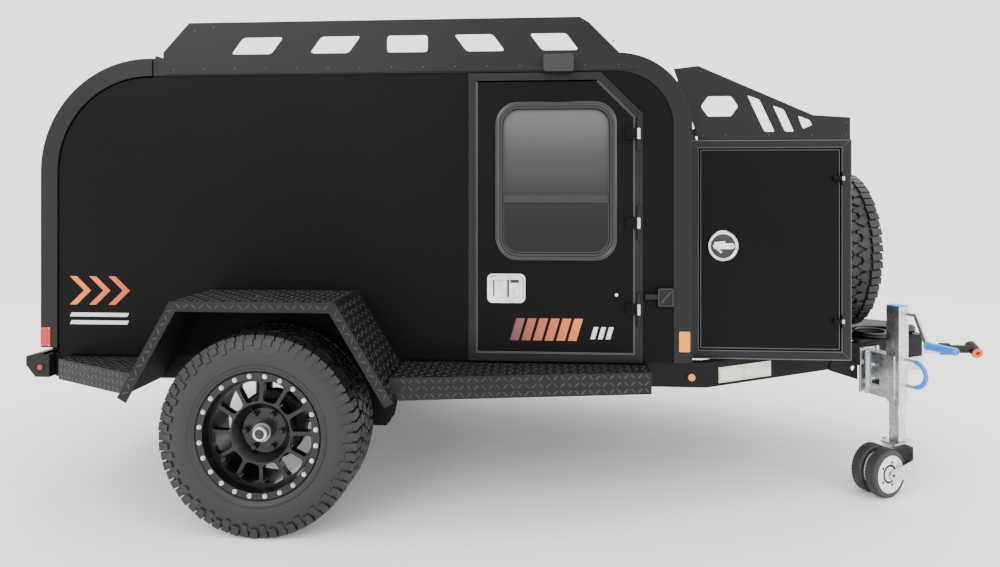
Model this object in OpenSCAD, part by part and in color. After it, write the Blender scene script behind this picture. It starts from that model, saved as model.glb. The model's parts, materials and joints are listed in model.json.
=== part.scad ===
// Off-road squared teardrop camping trailer.
// Millimetres, +X forward to the hitch, +Y left, +Z up.
// Origin on the ground, under the middle of the overall length and width.

/* [Body] */
// Length of the cabin body
body_l = 2690; // [2200:10:3300]
// Width of the cabin body
body_w = 1600; // [1300:10:2000]
// Height of the cabin body, from its floor line to the roof
body_h = 1231; // [1100:1:1500]
// Height of the floor line above the ground
floor_z = 605; // [560:1:720]
// How far the rear of the body lies behind the axle
rear_overhang = 1050; // [880:10:1250]
// Radius of the rear roof corner
rear_r = 470; // [400:5:560]
// Radius of the front roof corner
front_r = 295; // [250:5:350]
// Thickness of the side walls
wall_t = 25; // [18:1:32]
// Thickness of the roof and front skins
skin_t = 30; // [20:1:40]
// Thickness of the floor
floor_t = 40; // [30:1:50]
// Width of the edge trim seen from the side
trim_w = 73; // [60:1:90]
// Thickness of the edge trim
trim_t = 4; // [2:0.5:6]
// How far the hatch hinge lies ahead of the rear of the body
hatch_l = 490; // [480:5:600]
// Thickness of the hatch shell
hatch_t = 25; // [18:1:30]
// How far the galley bulkhead lies ahead of the hatch hinge
bulkhead_set = 60; // [40:5:120]

/* [Cabin doors] */
// Distance from the front of the body to the front of the door frame
door_set = 194; // [175:1:240]
// Width of the door frame
door_w = 693; // [600:1:780]
// Height of the door frame
door_h = 1152; // [1050:1:1160]
// Leg of the cut corner of the door
door_cut = 165; // [120:1:200]
// Width of the door frame's face
frame_w = 30; // [24:1:40]
// Thickness of the frame's face outside the wall
frame_t = 8; // [5:1:12]
// Thickness of the door leaf
leaf_t = 25; // [18:1:30]
// Width of the door window
win_w = 447; // [360:1:470]
// Height of the door window
win_h = 597; // [480:1:620]
// Thickness of the door glass
glass_t = 6; // [4:1:8]

/* [Fenders and steps] */
// How far the fender stands out from the body
fender_out = 319; // [290:1:400]
// Height of the fender top
fender_z = 881; // [860:1:1000]
// Length of the fender top
fender_top_l = 618; // [500:1:720]
// Thickness of the folded checker plate
plate_t = 5; // [3:0.5:8]
// Depth of the fender's turned-down lip
lip_w = 38; // [24:1:50]
// Depth of the side step's face
step_h = 84; // [60:1:100]

/* [Running gear] */
// Outside diameter of the tyres
tyre_d = 760; // [680:5:800]
// Section width of the tyres
tyre_w = 265; // [215:5:285]
// Diameter of the wheel at its bolted ring
rim_d = 470; // [420:5:500]
// How far the wheel centre lies outside the body side
wheel_out = 164; // [160:1:190]
// Bolt circle of the wheel
lug_pcd = 139.7; // [114.3:0.1:165.1]
// Diameter of the stub axle
stub_d = 45; // [35:1:55]
// How far the suspension pivot lies ahead of the axle
arm_l = 385; // [320:5:450]

/* [Frame] */
// Height of the chassis rails
rail_h = 100; // [75:5:125]
// Width of the chassis rails
rail_w = 50; // [40:5:60]
// How far the rails lie inside the body side
rail_in = 15; // [5:1:40]
// Angle of the A-frame rails to the centre line
a_angle = 28; // [24:0.5:30]
// Length of the A-frame ahead of its bend
a_len = 1147; // [1000:1:1250]

/* [Tongue box] */
// Length of the tongue box
box_l = 625; // [500:5:700]
// Width of the tongue box
box_w = 1440; // [1200:10:1500]
// Height of the tongue box
box_h = 888; // [700:1:950]
// Thickness of the tongue box walls
box_t = 20; // [12:1:30]

/* [Spare wheel] */
// Height of the spare wheel's centre
spare_z = 1000; // [990:5:1060]

/* [Jack] */
// Place of the jack along the outside of the right A-frame rail
jack_s = 924; // [860:1:960]
// How far the jack tube stands out from the rail
jack_out = 140; // [130:1:170]
// Height of the jack's swing pivot
jack_pivot_z = 430; // [415:1:445]
// Side of the outer jack tube
tube_s = 60; // [50:1:70]
// Height of the top of the jack tube
tube_top = 790; // [700:5:850]
// Diameter of the jack wheels
castor_d = 200; // [160:5:240]
// Trail of the jack castor
castor_trail = 120; // [110:5:130]

/* [Coupler] */
// Diameter of the coupler's pin bore
pin_d = 22; // [16:1:26]
// Diameter of the coupler barrel
barrel_d = 52; // [44:1:60]
// Length of the coupler barrel
barrel_l = 75; // [60:1:90]
// How far the barrel stands ahead of the A-frame nose
head_out = 338; // [300:1:380]
// Height of the coupler's centre line
head_z = 502; // [460:1:540]

/* [Lead] */
// Diameter of the towing lead
lead_d = 12; // [10:1:14]

/* [Hidden] */

black = [0.11, 0.11, 0.115];
trim_black = [0.17, 0.17, 0.175];
zinc = [0.72, 0.73, 0.75];
eps = 0.01;

// Clearances
move_gap = 6;      // between a moving panel and its frame
run_gap = 3;       // between sliding tubes
pin_gap = 0.5;     // between hinge knuckles

// Body places, counted from the axle
side_y = body_w / 2;
rear_x = -rear_overhang;
front_x = rear_x + body_l;
roof_z = floor_z + body_h;
hinge_x = rear_x + hatch_l;
trim_y = side_y + trim_t;
tyre_r = tyre_d / 2;
wheel_y = side_y + wheel_out;
hatch_z = floor_z + 25;
bulkhead_x = hinge_x + bulkhead_set;

// Door places
door_x1 = front_x - door_set;
door_x0 = door_x1 - door_w;
door_z0 = floor_z + 1;
door_z1 = door_z0 + door_h;
sleeve_in = frame_w / 2;
leaf_in = frame_w + move_gap;
leaf_out_y = side_y + frame_t - 2;
win_x = (door_x0 + door_x1) / 2 + 3;
win_z = door_z1 - 434;
win_r = 70;
door_axis_x = door_x1 - 17;
door_axis_y = side_y + frame_t + 8;
knuckle_r = 7;
knuckle_h = 44;
door_knuckles = [for (z = [190, 531, 884]) door_z0 + z];

// Frame places
rail_y = side_y - rail_in;
rail_rear = rear_x + 50;
rail_z0 = floor_z - rail_h;
bend_x = front_x + 62;
nose_x = bend_x + a_len;
nose_y = rail_y - a_len * tan(a_angle);
cross_xs = [for (k = [0:4]) rear_x + 100 + k * (body_l - 180) / 4];

// Tongue box places
box_x0 = front_x + 5;
box_x1 = box_x0 + 16 + box_l;
box_y = box_w / 2;
box_z1 = floor_z + box_h;
box_door_x0 = box_x0 + 38;
box_door_x1 = box_x1 - 40;
box_door_z0 = floor_z + 37;
box_door_z1 = box_z1 - 34;
box_leaf_y = box_y - 2;
box_axis_x = box_door_x1 + 3;
box_axis_y = box_y + 8;
box_knuckle_h = 17;
box_knuckles = [box_door_z0 + 122, box_door_z1 - 123];

// Spare wheel: its centre plane and its mounting face
spare_x = box_x1 + 33 + tyre_w / 2;

// Wheel disc, measured outward from the wheel's centre plane
disc_out = 62;
disc_t = 24;
disc_z = disc_out - 40;
hub_r = 84;
hub_face = disc_out - 14;
hub_bore = 36;
stud_r = 6.5;

// Jack places
deck_z = floor_z + 4;
tube_z0 = jack_pivot_z - 56;
leg_s = tube_s - 8 - 2 * run_gap;
leg_z0 = castor_d + 8;
leg_l = tube_z0 + 206 - leg_z0;
mount_t = 8;
swivel_r = 32;
crank_z = tube_top - 30;
pull_r = 55;
pull_z = jack_pivot_z + 80;
stem_r = 12;

// Coupler places
channel_x = nose_x;
head_x = nose_x + head_out;
roll_x = channel_x + 178;
roll_angle = 24;

// Overall length, which sets where the origin lies
bumper_x = rear_x - 53;
lamp_out = 6;
tip_x = head_x + barrel_d / 2;
mid_x = (tip_x + bumper_x - lamp_out) / 2;

// Path helpers: a path of points on the XY plane, offset to its right-hand side
function unit(v) = v / norm(v);
function side_of(a, b) = let (d = unit(b - a)) [d[1], -d[0]];
function path_side(p, t) = [for (i = [0:len(p) - 1])
    let (n1 = side_of(p[max(i - 1, 0)], p[max(i, 1)]),
         n2 = side_of(p[min(i, len(p) - 2)], p[min(i + 1, len(p) - 1)]))
    p[i] + t * (n1 + n2) / (1 + n1 * n2)];
function reversed(p) = [for (i = [len(p) - 1:-1:0]) p[i]];
function band(p, t) = concat(p, reversed(path_side(p, t)));

// A closed outline with each corner eased, from t before it to t after it
function rounded(p, t, n = 4) = [for (i = [0:len(p) - 1])
    let (c = p[i], a = c + t * unit(p[(i + len(p) - 1) % len(p)] - c),
         b = c + t * unit(p[(i + 1) % len(p)] - c))
    for (k = [0:n]) let (s = k / n) (1 - s) * (1 - s) * a + 2 * s * (1 - s) * c + s * s * b];

// The points of a smooth curve through p, with n steps between two points
function curve_point(a, b, c, d, s) = b + s * (c - a) / 2
    + s * s * (2 * a - 5 * b + 4 * c - d) / 2 + s * s * s * (3 * b - a - 3 * c + d) / 2;
function smooth(p, n) = concat([for (i = [0:len(p) - 2]) for (k = [0:n - 1])
    curve_point(p[max(i - 1, 0)], p[i], p[i + 1], p[min(i + 2, len(p) - 1)], k / n)], [p[len(p) - 1]]);

// Puts what is drawn from the axle into the part's own frame
module place() {
    translate([-mid_x, 0, 0]) children();
}

module both_sides() {
    children();
    mirror([0, 1, 0]) children();
}

module on_left() {
    mirror([0, 1, 0]) children();
}

// A flat piece on the right-hand side, drawn in X and Z, from y0 outward to y1
module side_slab(y0, y1) {
    translate([0, -y0, 0]) rotate([90, 0, 0]) linear_extrude(y1 - y0) children();
}

module rect(x0, z0, x1, z1) {
    translate([x0, z0]) square([x1 - x0, z1 - z0]);
}

module round_rect(x0, z0, x1, z1, r) {
    rect(x0 + r, z0, x1 - r, z1);
    rect(x0, z0 + r, x1, z1 - r);
    for (x = [x0 + r, x1 - r], z = [z0 + r, z1 - r]) translate([x, z]) circle(r, $fn = 48);
}

// Side outline of the body, drawn in by o at the rear, the roof and the front
module side_outline(o) {
    r1 = rear_r - o;
    r2 = front_r - o;
    x0 = rear_x + o;
    x1 = front_x - o;
    z1 = roof_z - o;
    rect(x0, floor_z, x1, z1 - r1);
    rect(x0 + r1, floor_z, x1, z1 - r2);
    rect(x0 + r1, floor_z, x1 - r2, z1);
    translate([x0 + r1, z1 - r1]) circle(r1, $fn = 96);
    translate([x1 - r2, z1 - r2]) circle(r2, $fn = 96);
}

// Everything ahead of x, or behind it
module ahead(x) {
    rect(x, 0, front_x + 500, roof_z + 500);
}

module behind(x) {
    rect(rear_x - 500, 0, x, roof_z + 500);
}

// Door outline drawn in by i, with its cut upper front corner
module door_shape(i) {
    c = door_cut + i * (sqrt(2) - 2);
    x0 = door_x0 + i;
    x1 = door_x1 - i;
    z0 = door_z0 + i;
    z1 = door_z1 - i;
    polygon([[x0, z0], [x1, z0], [x1, z1 - c], [x1 - c, z1], [x0, z1]]);
}

module win_shape(i) {
    round_rect(win_x - win_w / 2 + i, win_z - win_h / 2 + i,
        win_x + win_w / 2 - i, win_z + win_h / 2 - i, win_r - i / 2);
}

// ---- Chassis ----

module rail_right() {
    path = [[rail_rear, -rail_y], [bend_x, -rail_y], [nose_x, -nose_y]];
    translate([0, 0, rail_z0]) linear_extrude(rail_h) polygon(band(path, -rail_w));
}

module frame_rails() {
    color(black) place() both_sides() rail_right();
}

module crossmembers() {
    inner = rail_y - rail_w;
    color(black) place() {
        for (x = cross_xs) translate([x - 25, -inner, rail_z0 + 20]) cube([50, 2 * inner, rail_h - 20]);
        translate([box_x1 - 60, 0, rail_z0 + 20])
            a_frame_tie(50, box_x1 - 60);
    }
}

// A cross tube between the A-frame rails, its rear face at x
module a_frame_tie(w, x) {
    half = rail_y - rail_w / cos(a_angle) - (x - bend_x) * tan(a_angle);
    front = half - w * tan(a_angle);
    linear_extrude(rail_h - 20) polygon([[0, -half], [w, -front], [w, front], [0, half]]);
}

// Deck plate on the rails' tips, the nose plate and the gussets
module a_frame_nose() {
    deck_x0 = nose_x - 390;
    deck_y0 = rail_y - (deck_x0 - bend_x) * tan(a_angle);
    color(black) place() {
        translate([0, 0, floor_z]) linear_extrude(deck_z - floor_z)
            polygon([[deck_x0, -deck_y0], [nose_x, -nose_y], [nose_x, nose_y], [deck_x0, deck_y0]]);
        nose_in = rail_w / cos(a_angle);
        translate([nose_x - 12, 0, rail_z0]) linear_extrude(rail_h)
            polygon([[0, -(nose_y - nose_in + 12 * tan(a_angle))], [12, -(nose_y - nose_in)],
                [12, nose_y - nose_in], [0, nose_y - nose_in + 12 * tan(a_angle)]]);
        both_sides() translate([bend_x, -rail_y, 0]) rotate([0, 0, a_angle])
            translate([0, -6, 0]) rotate([90, 0, 0]) translate([0, 0, -6]) linear_extrude(6) difference() {
                polygon([[jack_s - 250, rail_z0 + 20], [jack_s - 250, rail_z0 - 2], [jack_s - 75, rail_z0 - 60],
                    [jack_s - 75, rail_z0 + 60], [jack_s - 220, rail_z0 + 60]]);
                translate([jack_s - 105, rail_z0 - 4]) circle(13, $fn = 32);
            }
    }
}

// ---- Body shell ----

module floor() {
    color(black) place()
        translate([rear_x + hatch_t + move_gap, -(side_y - wall_t), floor_z])
            cube([body_l - hatch_t - move_gap - skin_t, body_w - 2 * wall_t, floor_t]);
}

module wall_shape() {
    difference() {
        union() {
            intersection() {
                side_outline(trim_w + move_gap);
                behind(hinge_x + 1);
            }
            intersection() {
                side_outline(skin_t);
                ahead(hinge_x);
            }
        }
        door_shape(sleeve_in);
    }
}

module right_wall() {
    color(black) place() side_slab(side_y - wall_t, side_y) wall_shape();
}

module left_wall() {
    color(black) place() on_left() side_slab(side_y - wall_t, side_y) wall_shape();
}

// Roof skin with the rounded front corner
module roof() {
    color(black) place() side_slab(-side_y, side_y) intersection() {
        difference() {
            side_outline(0);
            side_outline(skin_t);
        }
        rect(hinge_x, roof_z - front_r, front_x + 1, roof_z + 1);
    }
}

module front_wall() {
    color(black) place() translate([front_x - skin_t, -side_y, floor_z])
        cube([skin_t, body_w, body_h - front_r]);
}

module galley_cabinet() {
    y = side_y - wall_t;
    top = roof_z - skin_t;
    base = floor_z + floor_t;
    color([0.55, 0.42, 0.28]) place() {
        translate([bulkhead_x - 12, -y, base]) cube([12, 2 * y, top - base]);
        translate([bulkhead_x - 412, -y + 10, base]) cube([400, 2 * y - 20, 320]);
        translate([bulkhead_x - 212, -y + 10, base + 780]) cube([200, 2 * y - 20, 18]);
    }
}

module mattress() {
    base = floor_z + floor_t + 1;
    color([0.55, 0.56, 0.58]) place()
        translate([bulkhead_x + 8, -(side_y - wall_t - 12), base])
            cube([front_x - skin_t - 8 - bulkhead_x - 8, body_w - 2 * wall_t - 24, 110]);
}

module edge_trims() {
    color(trim_black) place() both_sides() side_slab(side_y, trim_y) intersection() {
        difference() {
            side_outline(0);
            side_outline(trim_w);
        }
        ahead(hinge_x);
    }
}

// Rear galley hatch: a curved shell with side flanges
module rear_hatch() {
    color(trim_black) place() intersection() {
        union() {
            side_slab(-trim_y, trim_y) difference() {
                side_outline(0);
                side_outline(hatch_t);
            }
            both_sides() side_slab(side_y - wall_t, trim_y) difference() {
                side_outline(0);
                side_outline(trim_w);
            }
        }
        side_slab(-trim_y - 1, trim_y + 1) rect(rear_x - 1, hatch_z, hinge_x - move_gap, roof_z + 1);
    }
}

// ---- Cabin doors ----

module door_frame() {
    side_slab(side_y, side_y + frame_t) difference() {
        door_shape(0);
        door_shape(frame_w);
    }
    side_slab(side_y - wall_t, side_y) difference() {
        door_shape(sleeve_in);
        door_shape(frame_w);
    }
    side_slab(side_y - wall_t - 8, side_y - wall_t) difference() {
        door_shape(-4);
        door_shape(leaf_in + 12);
        rect(door_x0 - 5, 0, door_x1 + 5, floor_z + floor_t);
    }
    hold_back();
}

// Wall catch that holds the open door
module hold_back() {
    x = door_x1 + 4;
    z = door_z0 + 262;
    side_slab(side_y, side_y + 26) round_rect(x + 56, z - 36, x + 116, z + 36, 8);
    translate([x + 4, -side_y - 13, z]) rotate([0, 90, 0]) cylinder(52, 13, 13, $fn = 40);
}

module door_frame_right() {
    color(black) place() door_frame();
}

module door_frame_left() {
    color(black) place() on_left() door_frame();
}

// The leaf lies from leaf_out_y inward, with the moving half of each hinge
module door_leaf() {
    difference() {
        side_slab(leaf_out_y - leaf_t, leaf_out_y) door_shape(leaf_in);
        side_slab(leaf_out_y - leaf_t - 1, leaf_out_y + 1) win_shape(0);
    }
    for (z = door_knuckles) translate([0, 0, z]) {
        translate([door_axis_x, -door_axis_y, 0]) cylinder(knuckle_h, knuckle_r, knuckle_r, $fn = 32);
        hinge_strap(door_x1 - leaf_in - 30, door_x1 - leaf_in, door_axis_x, door_axis_y, side_y + frame_t,
            leaf_out_y, knuckle_h);
    }
}

// Moving half of a hinge: its foot on the leaf from x0 to x1, and its strap outside face_y to the axis
module hinge_strap(x0, x1, axis_x, axis_y, face_y, leaf_y, h) {
    translate([x0, -axis_y - 1, 0]) cube([axis_x - x0, axis_y + 1 - face_y - pin_gap, h]);
    translate([x0, -axis_y, 0]) cube([x1 - x0, axis_y - leaf_y, h]);
}

module cabin_door_right() {
    color(black) place() door_leaf();
}

module cabin_door_left() {
    color(black) place() on_left() door_leaf();
}

module door_glass() {
    side_slab(leaf_out_y - 12 - glass_t, leaf_out_y - 12) win_shape(0);
}

module door_glass_right() {
    color([0.05, 0.05, 0.055]) place() door_glass();
}

module door_glass_left() {
    color([0.05, 0.05, 0.055]) place() on_left() door_glass();
}

// Paddle latch plate and the striker knob that the hold-back grips
module door_latch() {
    x = door_x0 + 76;
    z = door_z0 + 232;
    difference() {
        side_slab(leaf_out_y, leaf_out_y + 7) round_rect(x, z, x + 153, z + 117, 22);
        side_slab(leaf_out_y + 3, leaf_out_y + 8) round_rect(x + 24, z + 24, x + 129, z + 93, 6);
    }
    side_slab(leaf_out_y + 3, leaf_out_y + 9) rect(x + 30, z + 28, x + 78, z + 89);
    translate([door_x1 - 105, -leaf_out_y, door_z0 + 270]) rotate([90, 0, 0])
        cylinder(18, 8, 8, $fn = 32);
}

module door_latch_right() {
    color(zinc) place() door_latch();
}

module door_latch_left() {
    color(zinc) place() on_left() door_latch();
}

// Fixed halves of the hinges of the cabin doors and the tongue box doors, and the hatch hinge
module hinge_knuckles() {
    color(zinc) place() {
        both_sides() {
            for (z = door_knuckles) for (s = [-1, 1])
                translate([0, 0, z + s * (knuckle_h + pin_gap)]) {
                    translate([door_axis_x, -door_axis_y, 0])
                        cylinder(knuckle_h, knuckle_r, knuckle_r, $fn = 32);
                    translate([door_axis_x, -door_axis_y - 1, 0])
                        cube([14, door_axis_y - side_y - frame_t + 1, knuckle_h]);
                }
            for (z = box_knuckles) for (s = [-1, 1])
                translate([0, 0, z + s * (box_knuckle_h + pin_gap) - box_knuckle_h / 2]) {
                    translate([box_axis_x, -box_axis_y, 0]) cylinder(box_knuckle_h, 6, 6, $fn = 32);
                    translate([box_axis_x, -box_axis_y - 1, 0])
                        cube([16, box_axis_y - box_y + 1, box_knuckle_h]);
                }
        }
        translate([hinge_x, side_y - 20, roof_z + 8]) rotate([90, 0, 0])
            cylinder(2 * side_y - 40, 7, 7, $fn = 32);
        translate([hinge_x, -side_y + 20, roof_z]) cube([34, 2 * side_y - 40, 5]);
    }
}

// ---- Roof rack ----

rack_z0 = roof_z - trim_w + 5;
rack_z1 = roof_z + 143;
rack_x0 = rear_x + 534;
rack_x1 = front_x - 442;
rack_t = 4;
bar_w = 40;
bar_h = 25;
bar_top = roof_z + 45;

// Start and end of each slot, counted from the rear of the rack, and which way it leans
rack_l = 1714;
rack_slots = [[289, 508, 1], [617, 829, 1], [938, 1104, 0], [1212, 1416, -1], [1515, 1710, -1]];
rack_bars = [166, 562, 883, 1158, 1466, 1776];
function along_rack(x) = rack_x0 + x * (rack_x1 - rack_x0) / rack_l;
function rack_slot(k) = let (x0 = along_rack(k[0]), x1 = along_rack(k[1]), s = 50 * k[2],
    z0 = roof_z + 11, z1 = roof_z + 79)
    [[x0 + max(-s, 0), z0], [x1 - max(s, 0), z0], [x1 - max(-s, 0), z1], [x0 + max(s, 0), z1]];

module rack_plate() {
    difference() {
        polygon([[rack_x0, rack_z0], [rack_x1 + 222, rack_z0], [rack_x1 + 36, rack_z1 - 22],
            [rack_x1, rack_z1], [rack_x0 + 110, rack_z1], [rack_x0, rack_z1 - 120]]);
        for (k = rack_slots) polygon(rounded(rack_slot(k), 14));
    }
}

module roof_rack_sides() {
    color(black) place() both_sides() side_slab(trim_y, trim_y + rack_t) rack_plate();
}

module roof_rack_bars() {
    color(black) place() for (x = rack_bars)
        translate([along_rack(x) - bar_w / 2, -trim_y, bar_top - bar_h]) cube([bar_w, 2 * trim_y, bar_h]);
}

// ---- Lamps ----

module porch_lights() {
    x = door_x1 - 392;
    y = trim_y + rack_t;
    color([0.2, 0.2, 0.2]) place() both_sides() {
        side_slab(y, y + 12) round_rect(x + 20, roof_z - 66, x + 98, roof_z - 30, 6);
        side_slab(y + 12, y + 52) round_rect(x, roof_z - 82, x + 118, roof_z - 14, 10);
    }
}

module tail_lights() {
    color([0.8, 0.05, 0.04]) place() both_sides() {
        translate([bumper_x - lamp_out, -side_y + 60, rail_z0 + 56]) cube([lamp_out, 160, 32]);
        side_slab(side_y + 20, side_y + 28) translate([rear_x + 14, rail_z0 + 48]) circle(11, $fn = 32);
    }
}

module marker_lights() {
    color([1, 0.72, 0.02]) place() both_sides() {
        side_slab(trim_y, trim_y + 6) round_rect(front_x - 53, floor_z + 46, front_x - 10, floor_z + 126, 4);
        side_slab(rail_y, rail_y + 9) translate([front_x, floor_z - 58]) circle(14, $fn = 32);
    }
}

// ---- Fenders, steps and bumper ----

fender_x0 = -6 - fender_top_l / 2;
fender_x1 = -6 + fender_top_l / 2;
fender_leg = 358;
fender_path = [[fender_x0 - 199, fender_z - fender_leg], [fender_x0, fender_z], [fender_x1, fender_z],
    [fender_x1 + 214, fender_z - fender_leg]];
fender_y = side_y + fender_out;
// Everything under the fender, down to the ground
wheel_arch = concat([[fender_x0 - 199 - fender_leg, 0]], fender_path, [[fender_x1 + 214 + fender_leg, 0]]);

module fender() {
    side_slab(side_y, fender_y) polygon(band(fender_path, plate_t));
    side_slab(fender_y - plate_t, fender_y) polygon(band(fender_path, lip_w));
}

module fender_right() {
    color(trim_black) place() fender();
}

module fender_left() {
    color(trim_black) place() on_left() fender();
}

// A folded tray: its outer edge path in plan, closed to the body side
module tray(path) {
    z1 = floor_z - 7;
    translate([0, 0, z1 - plate_t]) linear_extrude(plate_t) polygon(path);
    translate([0, 0, z1 - step_h]) linear_extrude(step_h) polygon(band(path, -plate_t));
}

module side_steps() {
    y = rail_y;
    f = fender_x1 + 184;
    r = fender_x0 - 172;
    color(trim_black) place() both_sides() difference() {
        union() {
            tray([[f, -y], [f, -side_y - 264], [door_x1 + 18, -side_y - 118], [door_x1 + 18, -y]]);
            tray([[rear_x + 118, -y], [rear_x + 118, -side_y - 58], [r, -side_y - 270], [r, -y]]);
        }
        side_slab(0, fender_y + 1) polygon(wheel_arch);
    }
}

module rear_bumper() {
    color(trim_black) place() side_slab(-side_y - 20, side_y + 20)
        polygon([[bumper_x + 40, rail_z0 + 5], [rear_x + 50, rail_z0 + 5], [rear_x + 50, floor_z],
            [rear_x + 24, floor_z], [rear_x + 24, floor_z + 8], [rear_x + 10, floor_z + 8],
            [bumper_x, floor_z - 8], [bumper_x, rail_z0 + 55]]);
}

// ---- Suspension ----

arm_y0 = side_y - 75;
arm_y1 = side_y - 20;
arm_z = tyre_r;
pivot_z = tyre_r - 8;

module suspension_mounts() {
    color(black) place() both_sides() {
        for (y = [arm_y0 - 10, arm_y1 + 2]) side_slab(y, y + 8) difference() {
            polygon([[arm_l - 70, rail_z0], [arm_l - 48, pivot_z - 20], [arm_l - 30, pivot_z - 42],
                [arm_l + 30, pivot_z - 42], [arm_l + 48, pivot_z - 20], [arm_l + 80, rail_z0]]);
            translate([arm_l, pivot_z]) circle(9, $fn = 32);
        }
        translate([-110, -(side_y - 48), arm_z + 62]) cylinder(rail_z0 - arm_z - 62, 34, 34, $fn = 40);
        translate([170, -(side_y - 48), rail_z0 - 30]) cylinder(30, 24, 16, $fn = 40);
    }
}

module trailing_arms() {
    color(trim_black) place() both_sides() {
        difference() {
            union() {
                side_slab(arm_y0, arm_y1) polygon([[-150, arm_z + 26], [-150, arm_z - 20], [-40, arm_z - 34],
                    [40, arm_z - 34], [arm_l, pivot_z - 26], [arm_l, pivot_z + 26], [60, arm_z + 30]]);
                translate([arm_l, -arm_y0, pivot_z]) rotate([90, 0, 0])
                    cylinder(arm_y1 - arm_y0, 26, 26, $fn = 48);
            }
            translate([arm_l, -arm_y0 + 1, pivot_z]) rotate([90, 0, 0])
                cylinder(arm_y1 - arm_y0 + 2, 9, 9, $fn = 32);
        }
        translate([arm_l, -(arm_y0 - 14), pivot_z]) rotate([90, 0, 0])
            cylinder(arm_y1 - arm_y0 + 28, 8.9, 8.9, $fn = 32);
        translate([-110, -(side_y - 48), arm_z + 20]) cylinder(42, 30, 30, $fn = 40);
        translate([0, -arm_y1, arm_z]) rotate([90, 0, 0])
            cylinder(wheel_y + 20 - arm_y1, stub_d / 2, stub_d / 2, $fn = 48);
    }
}

// ---- Wheels ----

// Tyre about the Y axis, its outer side towards -Y
module tyre() {
    r = tyre_r;
    h = tyre_w / 2;
    ri = rim_d / 2 - 14;
    rotate([90, 0, 0]) rotate_extrude($fn = 96) polygon([
        [ri, -h + 42], [ri + 12, -h + 26], [ri + 34, -h + 6], [r - 70, -h], [r - 34, -h + 8], [r - 8, -h + 20],
        [r, -h + 38], [r, h - 38],
        [r - 8, h - 20], [r - 34, h - 8], [r - 70, h], [ri + 34, h - 6], [ri + 12, h - 26], [ri, h - 42],
        [ri - 10, h - 46], [ri - 10, -h + 46]]);
}

// One window of the wheel disc, drawn along +X
module wheel_window() {
    polygon(rounded([[118, -24], [186, -42], [197, 0], [186, 42], [118, 24]], 14));
}

// Barrel, bolted ring and disc with its windows and lug holes; the outer side towards -Y
module bare_rim() {
    ri = rim_d / 2 - 24;
    w = tyre_w / 2 - 46;
    rotate([90, 0, 0]) {
        rotate_extrude($fn = 96) polygon([
            [ri - 8, -w], [ri, -w], [ri, w], [rim_d / 2 - 14, w + 10], [rim_d / 2, w + 26], [rim_d / 2, w + 32],
            [rim_d / 2 - 25, w + 32], [rim_d / 2 - 27, w + 18], [ri - 8, w + 6]]);
        difference() {
            rotate_extrude($fn = 96) polygon([
                [hub_bore, disc_z], [82, disc_z], [114, disc_out - 8], [ri - 8 + eps, disc_out - 14],
                [ri - 8 + eps, disc_out + disc_t - 8], [112, disc_out + disc_t], [hub_r, hub_face],
                [hub_bore, hub_face]]);
            for (k = [0:11]) rotate([0, 0, 30 * k + 15]) translate([0, 0, disc_out - 60])
                linear_extrude(120) wheel_window();
            for (k = [0:5]) rotate([0, 0, 60 * k]) translate([lug_pcd / 2, 0, disc_out - 60])
                cylinder(100, 9, 9, $fn = 32);
        }
    }
}

// The six studs with their nuts, from z0 outward
module studs(z0) {
    for (k = [0:5]) rotate([0, 0, 60 * k]) translate([lug_pcd / 2, 0, 0]) {
        translate([0, 0, z0]) cylinder(hub_face + 22 - z0, stud_r, stud_r, $fn = 32);
        translate([0, 0, hub_face]) cylinder(18, 11, 10, $fn = 32);
    }
}

// Rim of a running wheel, with its hub and two-step grease cap
module rim() {
    bare_rim();
    rotate([90, 0, 0]) {
        difference() {
            translate([0, 0, -30]) cylinder(disc_z + 30, 110, 92, $fn = 64);
            translate([0, 0, -31]) cylinder(31 + 20, stub_d / 2 + 0.05, stub_d / 2 + 0.05, $fn = 64);
        }
        studs(disc_z - 2);
        translate([0, 0, disc_z]) cylinder(disc_out + 18 - disc_z, 36, 36, $fn = 48);
        translate([0, 0, disc_out + 18]) cylinder(18, 28, 28, $fn = 48);
    }
}

module at_right_wheel() {
    translate([0, -wheel_y, tyre_r]) children();
}

module tyre_right() {
    color([0.13, 0.13, 0.13]) place() at_right_wheel() tyre();
}

module rim_right() {
    color(black) place() at_right_wheel() rim();
}

module tyre_left() {
    color([0.13, 0.13, 0.13]) place() on_left() at_right_wheel() tyre();
}

module rim_left() {
    color(black) place() on_left() at_right_wheel() rim();
}

module at_spare() {
    translate([spare_x, 0, spare_z]) rotate([0, 0, 90]) children();
}

module spare_tyre() {
    color([0.13, 0.13, 0.13]) place() at_spare() tyre();
}

module spare_rim() {
    color(black) place() at_spare() bare_rim();
}

module spare_carrier() {
    plate_x = spare_x + disc_z;
    color(black) place() {
        translate([box_x1, -110, spare_z - 150]) cube([8, 220, 300]);
        translate([box_x1 + 8, -40, spare_z - 40]) cube([plate_x - 10 - box_x1 - 8, 80, 80]);
        translate([plate_x - 10, 0, spare_z]) rotate([0, 90, 0]) cylinder(10, 85, 85, $fn = 64);
        translate([plate_x - eps, 0, spare_z]) rotate([0, 90, 0]) cylinder(34, hub_bore - 0.5, hub_bore - 0.5, $fn = 64);
        at_spare() rotate([90, 0, 0]) studs(disc_z - 2);
    }
}

// ---- Tongue box ----

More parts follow.
